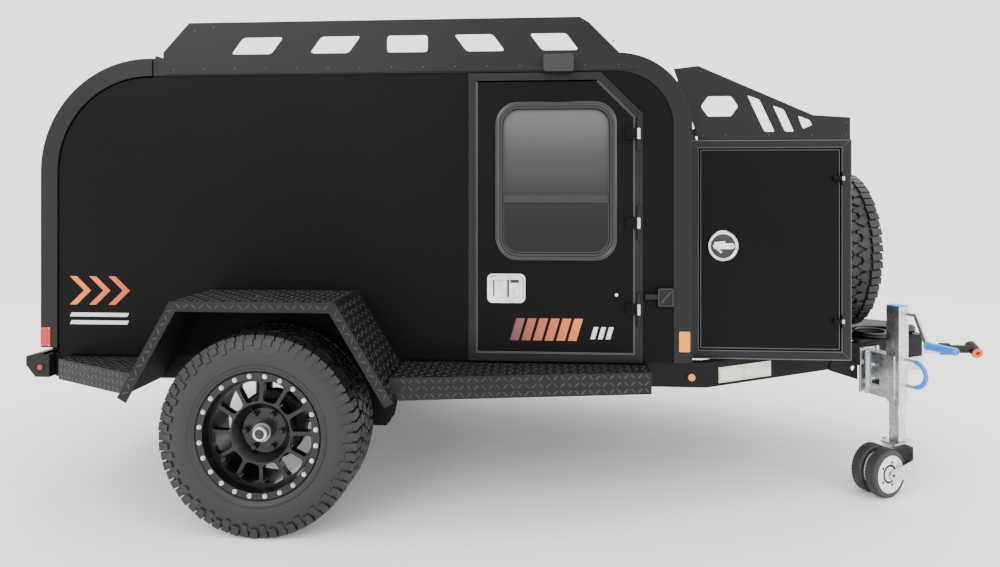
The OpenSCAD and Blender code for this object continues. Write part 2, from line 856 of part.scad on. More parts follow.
module tongue_box() {
    y = box_y;
    color(black) place() {
        difference() {
            translate([box_x0, -y, floor_z]) cube([box_x1 - box_x0, 2 * y, box_h]);
            translate([box_x0 + box_t, -y + box_t, floor_z + box_t])
                cube([box_x1 - box_x0 - 2 * box_t, 2 * (y - box_t), box_h - 2 * box_t]);
            side_slab(-y - 1, y + 1) rect(box_door_x0, box_door_z0, box_door_x1, box_door_z1);
        }
        // inner lip that each door closes against
        both_sides() side_slab(box_y - box_t - 12, box_y - box_t - 6) difference() {
            rect(box_x0 + box_t, floor_z + box_t, box_x1 - box_t, box_z1 - box_t);
            rect(box_door_x0 + 14, box_door_z0 + 14, box_door_x1 - 14, box_door_z1 - 14);
        }
        // gland that the towing lead comes out of
        translate([box_x1, lead_y, lead_z]) rotate([0, 90, 0]) cylinder(26, 13, 9, $fn = 32);
    }
}

module box_leaf() {
    side_slab(box_leaf_y - 20, box_leaf_y)
        rect(box_door_x0 + move_gap, box_door_z0 + move_gap, box_door_x1 - move_gap, box_door_z1 - move_gap);
    for (z = box_knuckles) translate([0, 0, z - box_knuckle_h / 2]) {
        translate([box_axis_x, -box_axis_y, 0]) cylinder(box_knuckle_h, 6, 6, $fn = 32);
        hinge_strap(box_door_x1 - 34, box_door_x1 - move_gap, box_axis_x, box_axis_y, box_y, box_leaf_y,
            box_knuckle_h);
    }
}

module box_door_right() {
    color(black) place() box_leaf();
}

module box_door_left() {
    color(black) place() on_left() box_leaf();
}

module box_latch() {
    x = box_door_x0 + 96;
    z = box_door_z0 + 421;
    difference() {
        side_slab(box_leaf_y, box_leaf_y + 7) translate([x, z]) circle(62, $fn = 64);
        side_slab(box_leaf_y + 2, box_leaf_y + 8) translate([x, z]) circle(50, $fn = 64);
    }
    side_slab(box_leaf_y + 2, box_leaf_y + 12) round_rect(x - 40, z - 12, x + 44, z + 12, 10);
}

module box_latch_right() {
    color(zinc) place() box_latch();
}

module box_latch_left() {
    color(zinc) place() on_left() box_latch();
}

// Sloped gear rack on the tongue box, with a light bar at its rear top
module tongue_rack() {
    z0 = box_z1;
    x0 = box_x0;
    y = box_y;
    color(black) place() {
        both_sides() side_slab(y - 4, y) difference() {
            polygon([[x0 + 34, z0], [x0 + 34, z0 + 13], [x0 - 62, z0 + 290], [x0 + 36, z0 + 301],
                [x0 + 490, z0 + 98], [box_x1 - 6, z0 + 88], [box_x1 - 6, z0]]);
            for (p = [
                [[231, 180], [279, 163], [340, 32], [299, 32]],
                [[332, 138], [376, 121], [416, 32], [380, 32]],
                [[430, 96], [476, 79], [488, 59], [450, 43]],
                [[46, 136], [75, 95], [167, 95], [196, 136], [167, 177], [75, 177]]])
                translate([x0, z0]) polygon(rounded(p, 8));
        }
        translate([box_x1 - 10, -y + 4, z0]) cube([4, 2 * y - 8, 60]);
        translate([x0 + 120, -y + 4, z0 + 60]) cube([30, 2 * y - 8, 30]);
        translate([x0 + 2, -y + 4, z0 + 240]) cube([40, 2 * y - 8, 42]);
    }
}

// ---- Jack ----

// Local frame of the right A-frame rail's outer face: +X along the rail, -Y outward
module at_rail() {
    translate([bend_x, -rail_y, 0]) rotate([0, 0, a_angle]) children();
}

module at_jack() {
    at_rail() translate([jack_s, 0, 0]) children();
}

module jack_mount() {
    color(zinc) place() at_jack() {
        difference() {
            translate([-60, -mount_t, jack_pivot_z - 45]) cube([120, mount_t, 200]);
            for (x = [-45, 45], z = [jack_pivot_z + 90, jack_pivot_z + 150])
                translate([x, 1, z]) rotate([90, 0, 0]) cylinder(mount_t + 2, 7, 7, $fn = 32);
        }
        translate([0, -mount_t, jack_pivot_z]) rotate([90, 0, 0]) cylinder(10, swivel_r, swivel_r, $fn = 48);
    }
}

// Swivel disc, bracket and outer tube, which swing together
module jack_tube() {
    z0 = jack_pivot_z - 45;
    y0 = mount_t + 10.5;
    y1 = jack_out - tube_s / 2;
    h = tube_s / 2;
    color(zinc) place() at_jack() {
        translate([0, -y0, jack_pivot_z]) rotate([90, 0, 0]) cylinder(8, swivel_r + 12, swivel_r + 12, $fn = 48);
        translate([-44, -y0 - 8, z0]) cube([88, 8, 190]);
        for (x = [-h - 4, h]) translate([x, 0, 0]) rotate([90, 0, 90]) linear_extrude(4) difference() {
            translate([-y1 - 40, z0]) square([y1 + 40 - y0 - 8 + eps, 190]);
            for (k = [0, 1]) translate([-y0 - 62, z0 + 50 + 62 * k]) square([38, 26]);
        }
        for (z = [z0, z0 + 184]) translate([-h, -y1, z]) cube([2 * h, y1 - y0 - 8 + eps, 6]);
        difference() {
            translate([-h, -jack_out - h, tube_z0]) cube([tube_s, tube_s, tube_top - tube_z0]);
            translate([-h + 4, -jack_out - h + 4, tube_z0 - 1]) cube([tube_s - 8, tube_s - 8, tube_top - tube_z0 - 7]);
        }
    }
}

// Side-wind crank and the pull handle of the swing lock
module jack_handles() {
    h = tube_s / 2;
    color(zinc) place() at_jack() translate([0, -jack_out - h, 0]) {
        translate([0, 0, crank_z]) rotate([90, 0, 0]) cylinder(54, 8, 8, $fn = 32);
        hull() {
            translate([-7, -56, crank_z - 8]) cube([14, 8, 16]);
            translate([-7, -106, crank_z - 126]) cube([14, 8, 16]);
        }
        translate([0, -98, crank_z - 118]) rotate([90, 0, 0]) cylinder(124, 14, 14, $fn = 32);
        for (s = [-1, 1]) translate([0, 0, pull_z + s * pull_r]) rotate([90, 0, 0])
            cylinder(42, 8, 8, $fn = 24);
        translate([0, -42, pull_z]) rotate([0, -90, 0]) rotate([180, 0, 0])
            rotate_extrude(angle = 180, $fn = 64) translate([pull_r, 0]) circle(8, $fn = 24);
    }
}

module jack_leg() {
    h = leg_s / 2;
    color(zinc) place() at_jack() translate([-h, -jack_out - h, leg_z0]) difference() {
        cube([leg_s, leg_s, leg_l]);
        translate([5, 5, 10]) cube([leg_s - 10, leg_s - 10, leg_l]);
        translate([h, h, -1]) cylinder(12, stem_r + 0.3, stem_r + 0.3, $fn = 48);
    }
}

// Castor fork: plate under the leg, bridge and two arms outside the wheels
module jack_fork() {
    r = castor_d / 2;
    half = 66;
    color(zinc) place() at_jack() translate([0, -jack_out, 0]) {
        translate([-62, -34, leg_z0 - 7]) cube([124, 68, 6]);
        translate([0, 0, leg_z0 - 2]) cylinder(10, stem_r, stem_r, $fn = 48);
        translate([2, -half - 5, r - 36]) cube([6, 2 * half + 10, leg_z0 - 7 - r + 36]);
        for (s = [-1, 1]) translate([0, s * (half + 2.5) - 2.5 * s, 0]) rotate([90, 0, 0])
            translate([0, 0, s > 0 ? -5 : 0]) linear_extrude(5) difference() {
                polygon([[8, r - 36], [8, r + 44], [-castor_trail - 10, r + 18], [-castor_trail - 20, r],
                    [-castor_trail - 10, r - 18]]);
                translate([-castor_trail, r]) circle(6.5, $fn = 32);
            }
    }
}

// Twin wheels and their spindle
module jack_wheels() {
    r = castor_d / 2;
    color([0.16, 0.16, 0.16]) place() at_jack() translate([-castor_trail, -jack_out, r]) rotate([90, 0, 0]) {
        for (s = [-1, 1]) translate([0, 0, s * 33]) rotate_extrude($fn = 64)
            polygon([[8, -20], [30, -20], [r - 30, -16], [r - 26, -24], [r - 8, -24], [r, -16], [r, 16],
                [r - 8, 24], [r - 26, 24], [r - 30, 16], [30, 20], [8, 20]]);
        translate([0, 0, -74]) cylinder(148, 6.4, 6.4, $fn = 32);
        translate([0, 0, -53]) cylinder(106, 9, 9, $fn = 32);
    }
}

// ---- Coupler ----

// Adjustable channel bolted to the nose, with its pivot plate
module coupler_channel() {
    color(zinc) place() {
        difference() {
            union() {
                translate([nose_x, -55, head_z - 95]) cube([8, 110, 150]);
                for (y = [-55, 47]) translate([nose_x + 8, y, head_z - 95]) cube([62, 8, 150]);
            }
            for (k = [0:2]) translate([nose_x + 42, -60, head_z - 68 + 46 * k]) rotate([-90, 0, 0])
                cylinder(120, 8.5, 8.5, $fn = 32);
        }
        translate([nose_x + 8, -47, head_z - 46]) cube([60, 94, 78]);
        translate([nose_x + 68, 0, head_z]) rotate([0, 90, 0]) cylinder(roll_x - nose_x - 68, 24, 24, $fn = 48);
    }
}

// Rolling head: shank, neck and barrel across the trailer
module coupler_head() {
    color([0.1, 0.1, 0.1]) place() translate([0, 0, head_z]) {
        difference() {
            union() {
                translate([roll_x + 0.5, 0, 0]) rotate([0, 90, 0]) cylinder(40, 30, 30, $fn = 48);
                translate([roll_x + 40, 0, 0]) rotate([0, 90, 0]) cylinder(head_x - roll_x - 40, 20, 20, $fn = 48);
                translate([head_x, 0, 0]) rotate([90 + roll_angle, 0, 0])
                    translate([0, 0, -barrel_l / 2 + 8]) cylinder(barrel_l - 16, barrel_d / 2, barrel_d / 2, $fn = 64);
            }
            translate([head_x, 0, 0]) rotate([90 + roll_angle, 0, 0])
                translate([0, 0, -barrel_l]) cylinder(2 * barrel_l, pin_d / 2 + 5, pin_d / 2 + 5, $fn = 64);
        }
    }
}

// Flanged bushing in the barrel, with the pin bore
module coupler_bushing() {
    color([0.9, 0.25, 0.12]) place() translate([head_x, 0, head_z]) rotate([90 + roll_angle, 0, 0]) difference() {
        union() {
            translate([0, 0, -barrel_l / 2]) cylinder(barrel_l, pin_d / 2 + 5, pin_d / 2 + 5, $fn = 64);
            for (z = [-barrel_l / 2, barrel_l / 2 - 8]) translate([0, 0, z])
                cylinder(8, barrel_d / 2, barrel_d / 2, $fn = 64);
        }
        translate([0, 0, -barrel_l / 2 - 1]) cylinder(barrel_l + 2, pin_d / 2, pin_d / 2, $fn = 64);
    }
}

// ---- Towing lead ----

lead_r = lead_d / 2;
gland_x = box_x1 + 26;
lead_y = -190;
lead_z = deck_z + 13;
coil_r0 = 59;
coil_r1 = coil_r0 + 2 * lead_d + 2;
coil_h = 2 * lead_d + 1;
plug_r = 22;

// Places on the deck, counted from the gland: the coil, the plug and the lead's two stretches
coil_at = [280, -25, 0];
plug_at = [427, -1, plug_r];
lead_run = [[0, 0, 13], [40, 0, 12], [90, 4, 7], [140, 22, 6], [190, 62, 6], [240, 112, 6], [290, 147, 6],
    [343, 161, 6], [388, 161, 6], [415, 154, 6], [435, 134, 6], [442, 107, 6], [435, 80, 6], [415, 60, 6],
    [388, 53, 6], [334, 53, 6], [304, 53, 6]];
lead_tail = [[347, -64, 18], [360, -44, 18], [378, -27, 19], [402, -14, 21], [427, -1, 22]];

module on_deck() {
    translate([gland_x, lead_y, deck_z]) children();
}

// A tube swept along the points p, as rings of n corners
function tangent(p, i) = unit(p[min(i + 1, len(p) - 1)] - p[max(i - 1, 0)]);
function ring(p, i, r, n) = let (t = tangent(p, i), u = unit(cross([0, 0, 1], t)), v = cross(t, u))
    [for (k = [0:n - 1]) p[i] + r * (cos(360 * k / n) * u + sin(360 * k / n) * v)];
module sweep_tube(p, r, n) {
    last = (len(p) - 1) * n;
    sides = [for (i = [0:len(p) - 2]) for (k = [0:n - 1]) let (m = (k + 1) % n)
        [(i + 1) * n + k, (i + 1) * n + m, i * n + m, i * n + k]];
    polyhedron([for (i = [0:len(p) - 1]) each ring(p, i, r, n)],
        concat(sides, [[for (k = [0:n - 1]) k]], [[for (k = [n - 1:-1:0]) last + k]]));
}

module lead_cable() {
    color([0.06, 0.06, 0.06]) place() on_deck() {
        sweep_tube(smooth(lead_run, 2), lead_r, 10);
        sweep_tube(smooth(lead_tail, 2), lead_r, 10);
    }
}

module lead_coil() {
    color([0.06, 0.06, 0.06]) place() on_deck() translate(coil_at) rotate_extrude($fn = 64)
        translate([coil_r0, 0]) square([coil_r1 - coil_r0, coil_h]);
}

module lead_plug() {
    color([0.1, 0.1, 0.1]) place() on_deck() translate(plug_at) rotate([0, 90, a_angle]) {
        cylinder(30, 10, 15, $fn = 32);
        translate([0, 0, 30]) cylinder(55, plug_r - 2, plug_r, $fn = 40);
    }
}

frame_rails();
crossmembers();
a_frame_nose();
floor();
right_wall();
left_wall();
roof();
front_wall();
galley_cabinet();
mattress();
edge_trims();
door_frame_right();
door_frame_left();
hinge_knuckles();
roof_rack_sides();
roof_rack_bars();
porch_lights();
tail_lights();
marker_lights();
fender_right();
fender_left();
side_steps();
rear_bumper();
suspension_mounts();
trailing_arms();
tongue_box();
tongue_rack();
spare_carrier();
spare_tyre();
spare_rim();
jack_mount();
coupler_channel();
lead_cable();
lead_coil();
lead_plug();
tyre_right();
rim_right();
tyre_left();
rim_left();
cabin_door_right();
door_glass_right();
door_latch_right();
cabin_door_left();
door_glass_left();
door_latch_left();
rear_hatch();
box_door_right();
box_latch_right();
box_door_left();
box_latch_left();
jack_tube();
jack_handles();
jack_leg();
jack_fork();
jack_wheels();
coupler_head();
coupler_bushing();
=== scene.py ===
# Off-road teardrop trailer: materials, tread, plate pattern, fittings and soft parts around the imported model
import bpy
import bmesh
import json
import math
from mathutils import Matrix, Vector


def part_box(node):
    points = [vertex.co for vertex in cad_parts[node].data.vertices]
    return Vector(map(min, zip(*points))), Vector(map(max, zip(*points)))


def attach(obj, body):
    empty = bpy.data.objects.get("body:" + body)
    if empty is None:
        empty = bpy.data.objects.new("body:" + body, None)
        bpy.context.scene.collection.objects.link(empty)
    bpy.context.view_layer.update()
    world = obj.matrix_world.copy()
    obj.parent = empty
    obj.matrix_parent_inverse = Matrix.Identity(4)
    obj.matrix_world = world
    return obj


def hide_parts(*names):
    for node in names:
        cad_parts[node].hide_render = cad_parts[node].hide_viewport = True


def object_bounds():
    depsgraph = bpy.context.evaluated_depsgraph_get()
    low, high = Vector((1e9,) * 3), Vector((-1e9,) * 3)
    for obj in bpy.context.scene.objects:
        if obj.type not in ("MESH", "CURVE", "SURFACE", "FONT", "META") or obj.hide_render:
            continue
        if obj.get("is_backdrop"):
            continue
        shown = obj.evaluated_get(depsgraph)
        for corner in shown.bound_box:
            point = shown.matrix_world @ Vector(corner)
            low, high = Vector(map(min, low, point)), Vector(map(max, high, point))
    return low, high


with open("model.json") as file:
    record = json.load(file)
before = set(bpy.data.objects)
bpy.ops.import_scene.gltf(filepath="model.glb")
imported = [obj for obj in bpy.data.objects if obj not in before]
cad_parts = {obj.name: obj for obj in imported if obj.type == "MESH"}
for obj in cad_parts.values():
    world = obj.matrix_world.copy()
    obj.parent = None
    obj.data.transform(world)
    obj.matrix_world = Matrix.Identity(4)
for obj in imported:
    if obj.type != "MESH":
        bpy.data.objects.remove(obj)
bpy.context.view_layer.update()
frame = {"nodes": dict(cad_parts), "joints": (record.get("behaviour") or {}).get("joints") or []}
joints = {j["name"]: j for j in frame["joints"]}
axleX = joints["wheel_right_spin"]["pos_m"][0]
print("frame loaded")


# small helpers

def toLinear(hexColour):
    parts = [int(hexColour[i:i + 2], 16) / 255 for i in (1, 3, 5)]
    return [c / 12.92 if c <= 0.04045 else ((c + 0.055) / 1.055) ** 2.4 for c in parts] + [1.0]


def addNode(tree, kind, settings=None, values=None, links=None, stops=()):
    # stops are (position, colour or grey level) pairs of a colour ramp
    node = tree.nodes.new(kind)
    for key, value in (settings or {}).items():
        setattr(node, key, value)
    for key, value in (values or {}).items():
        node.inputs[key].default_value = value
    for key, socket in (links or {}).items():
        tree.links.new(socket, node.inputs[key])
    if stops:
        elements = node.color_ramp.elements
        elements.remove(elements[1])
        for k, (position, colour) in enumerate(stops):
            element = elements.new(position) if k else elements[0]
            element.position = position
            element.color = toLinear(colour) if isinstance(colour, str) else (colour, colour, colour, 1)
    return node


def newMaterial(name, **shader):
    material = bpy.data.materials.new(name)
    material.use_nodes = True
    tree = material.node_tree
    tree.nodes.clear()
    surface = addNode(tree, "ShaderNodeBsdfPrincipled", values=shader)
    addNode(tree, "ShaderNodeOutputMaterial", links={"Surface": surface.outputs["BSDF"]})
    place = addNode(tree, "ShaderNodeTexCoord").outputs["Object"]
    return material, tree, surface, place


def coverSurface(tree, surface, factor, colours, relief, depth, strength=1.0, rough=()):
    # Runs colours and, where given, roughness over a pattern, and raises a relief of that depth in metres
    base = addNode(tree, "ShaderNodeValToRGB", links={"Fac": factor}, stops=colours)
    tree.links.new(base.outputs["Color"], surface.inputs["Base Color"])
    if rough:
        worn = addNode(tree, "ShaderNodeValToRGB", links={"Fac": relief}, stops=rough)
        tree.links.new(worn.outputs["Color"], surface.inputs["Roughness"])
    bump = addNode(tree, "ShaderNodeBump", values={"Strength": strength, "Distance": depth},
                   links={"Height": relief})
    tree.links.new(bump.outputs["Normal"], surface.inputs["Normal"])


def perMillimetre(size):
    return 1000 / size  # a noise scale counts cells in a metre


def wavesPerMillimetre(size):
    return 100 * math.pi / size  # a wave texture of scale 1 repeats every 0.1 pi metres


def finishPiece(name, bm, body, material, replaced=(), bevel=0, sharp=32, merge=True):
    if merge:
        bmesh.ops.remove_doubles(bm, verts=bm.verts, dist=1e-6)
        bmesh.ops.recalc_face_normals(bm, faces=bm.faces)
    mesh = bpy.data.meshes.new(name)
    bm.to_mesh(mesh)
    bm.free()
    piece = bpy.data.objects.new(name, mesh)
    bpy.context.scene.collection.objects.link(piece)
    mesh.materials.append(material)
    mesh.polygons.foreach_set("use_smooth", [True] * len(mesh.polygons))
    if bevel:
        softenEdges(piece, bevel)
    else:
        mesh.set_sharp_from_angle(angle=math.radians(sharp))
    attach(piece, body)
    if replaced:
        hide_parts(*replaced)
    return piece


def softenEdges(piece, width, segments=2):
    edge = piece.modifiers.new("softEdges", "BEVEL")
    edge.width = width
    edge.segments = segments
    edge.limit_method = "ANGLE"
    edge.angle_limit = math.radians(32)
    edge.harden_normals = True
    edge.use_clamp_overlap = True


def boxInto(bm, low, high, turn=None):
    size = Vector(high) - Vector(low)
    centre = (Vector(high) + Vector(low)) / 2
    matrix = Matrix.Translation(centre) @ Matrix.Diagonal((*size, 1))
    made = bmesh.ops.create_cube(bm, size=1, matrix=(turn or Matrix()) @ matrix)
    return made["verts"]


def alongAxis(start, direction):
    # Matrix that puts local +Z along direction, at start
    turn = Vector(direction).normalized().to_track_quat("Z", "Y").to_matrix().to_4x4()
    return Matrix.Translation(start) @ turn


def discInto(bm, start, direction, radius, length, segments=32, top=None):
    matrix = alongAxis(start, direction) @ Matrix.Translation((0, 0, length / 2))
    made = bmesh.ops.create_cone(bm, cap_ends=True, segments=segments, radius1=radius,
                                 radius2=radius if top is None else top, depth=length, matrix=matrix)
    return made["verts"]


def spunInto(bm, profile, place, steps=64, closed=True):
    # Turns a profile of (radius, along) points about local Z
    points = [bm.verts.new((r, 0, z)) for r, z in profile]
    edges = [bm.edges.new((points[i], points[i + 1])) for i in range(len(points) - 1)]
    if closed:
        edges.append(bm.edges.new((points[-1], points[0])))
    made = bmesh.ops.spin(bm, geom=points + edges, cent=(0, 0, 0), axis=(0, 0, 1),
                          angle=2 * math.pi, steps=steps, use_merge=True)
    verts = {v for f in bm.faces for v in f.verts if not v.tag}
    for v in verts:
        v.tag = True
    bmesh.ops.transform(bm, matrix=place, verts=list(verts))
    return made


def loopInto(bm, points):
    verts = [bm.verts.new(p) for p in points]
    return [bm.edges.new((verts[i], verts[(i + 1) % len(verts)])) for i in range(len(verts))]


def shellInto(bm, loops, cap=True):
    # Skins between loops of the same count in different planes, and closes both ends or joins last to first
    edges = [loopInto(bm, points) for points in loops]
    for a, b in zip(edges, edges[1:]):
        bmesh.ops.bridge_loops(bm, edges=a + b)
    if cap:
        for ring in (edges[0], edges[-1]):
            bmesh.ops.contextual_create(bm, geom=ring)
    else:
        bmesh.ops.bridge_loops(bm, edges=edges[-1] + edges[0])


def roundedRect(x0, z0, x1, z1, radius, steps=8):
    points = []
    for cx, cz, start in ((x1 - radius, z0 + radius, -90), (x1 - radius, z1 - radius, 0),
                          (x0 + radius, z1 - radius, 90), (x0 + radius, z0 + radius, 180)):
        for k in range(steps + 1):
            angle = math.radians(start + 90 * k / steps)
            points.append((cx + radius * math.cos(angle), cz + radius * math.sin(angle)))
    return points


def templateMesh(name, bm):
    mesh = bpy.data.meshes.new(name)
    bm.to_mesh(mesh)
    bm.free()
    return mesh


def stamp(bm, template, matrix):
    template.transform(matrix)
    bm.from_mesh(template)
    template.transform(matrix.inverted())


def sidePlaces(side):
    # side is -1 on the right-hand side of the trailer and 1 on the left
    return "right" if side < 0 else "left"


def cad(x, y, z):
    # A place counted from the axle, in metres, in the shared frame
    return Vector((axleX + x, y, z))


# camera

view = dict(place=(0.0035, -3.5397, 1.2749), turn=3.67, lens=24.6, sensor=36, shiftY=-0.0898)
cameraData = bpy.data.cameras.new("camera")
cameraData.lens = view["lens"]
cameraData.sensor_width = view["sensor"]
cameraData.shift_y = view["shiftY"]
camera = bpy.data.objects.new("camera", cameraData)
camera.location = view["place"]
camera.rotation_euler = (math.pi / 2, 0, math.radians(view["turn"]))
bpy.context.scene.collection.objects.link(camera)
bpy.context.scene.camera = camera


# materials

def satinBlack(name, colour, roughness, grainSize, grain, gloss=0.2):
    # Powder coat on sheet: an even satin black, with a fine orange peel that softens the highlights
    material, tree, surface, place = newMaterial(name, Roughness=roughness, **{"Specular IOR Level": gloss})
    cloud = addNode(tree, "ShaderNodeTexNoise", values={"Scale": perMillimetre(900), "Detail": 3},
                    links={"Vector": place})
    fine = addNode(tree, "ShaderNodeTexNoise", values={"Scale": perMillimetre(grainSize), "Detail": 2},
                   links={"Vector": place})
    coverSurface(tree, surface, cloud.outputs["Fac"], [(0.3, colour[0]), (0.7, colour[1])],
                 fine.outputs["Fac"], grain, rough=[(0.3, roughness - 0.06), (0.7, roughness + 0.08)])
    return material


def moulded(name, colour, roughness, grainSize=1.5, grain=0.00006, **shader):
    # Moulded plastic or rubber: one colour with a faint mottle and a dull, slightly grained skin
    material, tree, surface, place = newMaterial(name, **shader)
    fine = addNode(tree, "ShaderNodeTexNoise", values={"Scale": perMillimetre(grainSize), "Detail": 3},
                   links={"Vector": place})
    coverSurface(tree, surface, fine.outputs["Fac"], [(0.35, colour[0]), (0.65, colour[1])],
                 fine.outputs["Fac"], grain, rough=[(0.3, roughness - 0.05), (0.7, roughness + 0.07)])
    return material


def plated(name, colour, roughness, spangle=12):
    # Zinc or chrome on steel: bright metal whose spangle shows as soft patches of lighter and darker grey
    material, tree, surface, place = newMaterial(name, Metallic=1.0)
    patch = addNode(tree, "ShaderNodeTexVoronoi", {"feature": "SMOOTH_F1"},
                    {"Scale": perMillimetre(spangle), "Smoothness": 0.6}, {"Vector": place})
    cloud = addNode(tree, "ShaderNodeTexNoise", values={"Scale": perMillimetre(45), "Detail": 4},
                    links={"Vector": place})
    both = addNode(tree, "ShaderNodeMath", {"operation": "MULTIPLY"},
                   links={0: patch.outputs["Distance"], 1: cloud.outputs["Fac"]})
    coverSurface(tree, surface, both.outputs["Value"], [(0.05, colour[0]), (0.45, colour[1])],
                 cloud.outputs["Fac"], 0.0004, 0.3, [(0.3, roughness - 0.07), (0.7, roughness + 0.1)])
    return material


def lensPlastic(name, colour):
    # Moulded acrylic lens: deep colour, glossy, with fine prism ribs behind the face
    material, tree, surface, place = newMaterial(name, Roughness=0.18, **{"Coat Weight": 0.15})
    ribs = addNode(tree, "ShaderNodeTexWave", {"bands_direction": "Z"},
                   {"Scale": wavesPerMillimetre(7.9), "Distortion": 0}, {"Vector": place})
    coverSurface(tree, surface, ribs.outputs["Fac"], [(0.2, colour[0]), (0.8, colour[1])],
                 ribs.outputs["Fac"], 0.0004)
    return material


def smokedGlassWithPaintedReflection(name, low, sash, top):
    # Smoked acrylic: nearly black, with a painted reflection that grows paler up from the sash rail
    material, tree, surface, place = newMaterial(name, Roughness=0.06, **{"Specular IOR Level": 0.3})
    height = addNode(tree, "ShaderNodeSeparateXYZ", links={"Vector": place})
    share = addNode(tree, "ShaderNodeMapRange", values={"From Min": low, "From Max": top},
                    links={"Value": height.outputs["Z"]})
    wave = addNode(tree, "ShaderNodeTexNoise", values={"Scale": perMillimetre(260), "Detail": 1},
                   links={"Vector": place})
    rail = (sash - low) / (top - low)
    # painted reflection: a step at the sash rail, then paler towards the top of the pane
    coverSurface(tree, surface, share.outputs["Result"], [
        (0.0, "#020202"), (rail - 0.002, "#101011"), (rail + 0.002, "#1c1c1d"), (0.7, "#38383a"),
        (0.98, "#565658")], wave.outputs["Fac"], 0.0006, 0.4)
    return material


def birchPly(name):
    # Lacquered birch plywood: pale yellow wood with long soft grain along the panel
    material, tree, surface, place = newMaterial(name, Roughness=0.38, **{"Coat Weight": 0.25})
    stretched = addNode(tree, "ShaderNodeMapping", values={"Scale": (1.0, 0.08, 1.0)}, links={"Vector": place})
    grain = addNode(tree, "ShaderNodeTexNoise", values={"Scale": perMillimetre(14), "Detail": 6,
                    "Distortion": 0.6}, links={"Vector": stretched.outputs["Vector"]})
    coverSurface(tree, surface, grain.outputs["Fac"], [(0.3, "#b98e5e"), (0.55, "#cfa878"), (0.75, "#dcbb90")],
                 grain.outputs["Fac"], 0.0003, 0.5)
    return material


def wovenCover(name):
    # Woven polyester ticking: mid grey, matt, with a plain weave drawn at 6 mm so that it shows
    material, tree, surface, place = newMaterial(name, Roughness=0.92, **{"Sheen Weight": 0.4})
    warp = addNode(tree, "ShaderNodeTexWave", {"bands_direction": "X"}, {"Scale": wavesPerMillimetre(5.92)},
                   {"Vector": place})
    weft = addNode(tree, "ShaderNodeTexWave", {"bands_direction": "Y"}, {"Scale": wavesPerMillimetre(5.92)},
                   {"Vector": place})
    weave = addNode(tree, "ShaderNodeMath", {"operation": "MULTIPLY"},
                    links={0: warp.outputs["Fac"], 1: weft.outputs["Fac"]})
    coverSurface(tree, surface, weave.outputs["Value"], [(0.0, "#7d8085"), (0.8, "#a3a6ab")],
                 weave.outputs["Value"], 0.0006)
    return material


def plateBlack(name):
    # Black coated checker plate between its bars: satin, scuffed a little by boots and stones
    material, tree, surface, place = newMaterial(name, Roughness=0.5, **{"Specular IOR Level": 0.25})
    scuff = addNode(tree, "ShaderNodeTexNoise", values={"Scale": perMillimetre(22), "Detail": 6,
                    "Roughness": 0.7}, links={"Vector": place})
    coverSurface(tree, surface, scuff.outputs["Fac"], [(0.42, "#0c0c0d"), (0.62, "#151516"), (0.8, "#242426")],
                 scuff.outputs["Fac"], 0.0003, 0.6, [(0.3, 0.42), (0.7, 0.62)])
    return material


def fadedStripe(name, start, end, left, right):
    # Printed vinyl: a smooth run of colour along the strip under a clear satin film
    material, tree, surface, place = newMaterial(name, Roughness=0.35, **{"Coat Weight": 0.2})
    along = addNode(tree, "ShaderNodeSeparateXYZ", links={"Vector": place})
    share = addNode(tree, "ShaderNodeMapRange", values={"From Min": start, "From Max": end},
                    links={"Value": along.outputs["X"]})
    film = addNode(tree, "ShaderNodeTexNoise", values={"Scale": perMillimetre(6)}, links={"Vector": place})
    coverSurface(tree, surface, share.outputs["Result"], [(0.0, left), (1.0, right)],
                 film.outputs["Fac"], 0.00004)
    return material


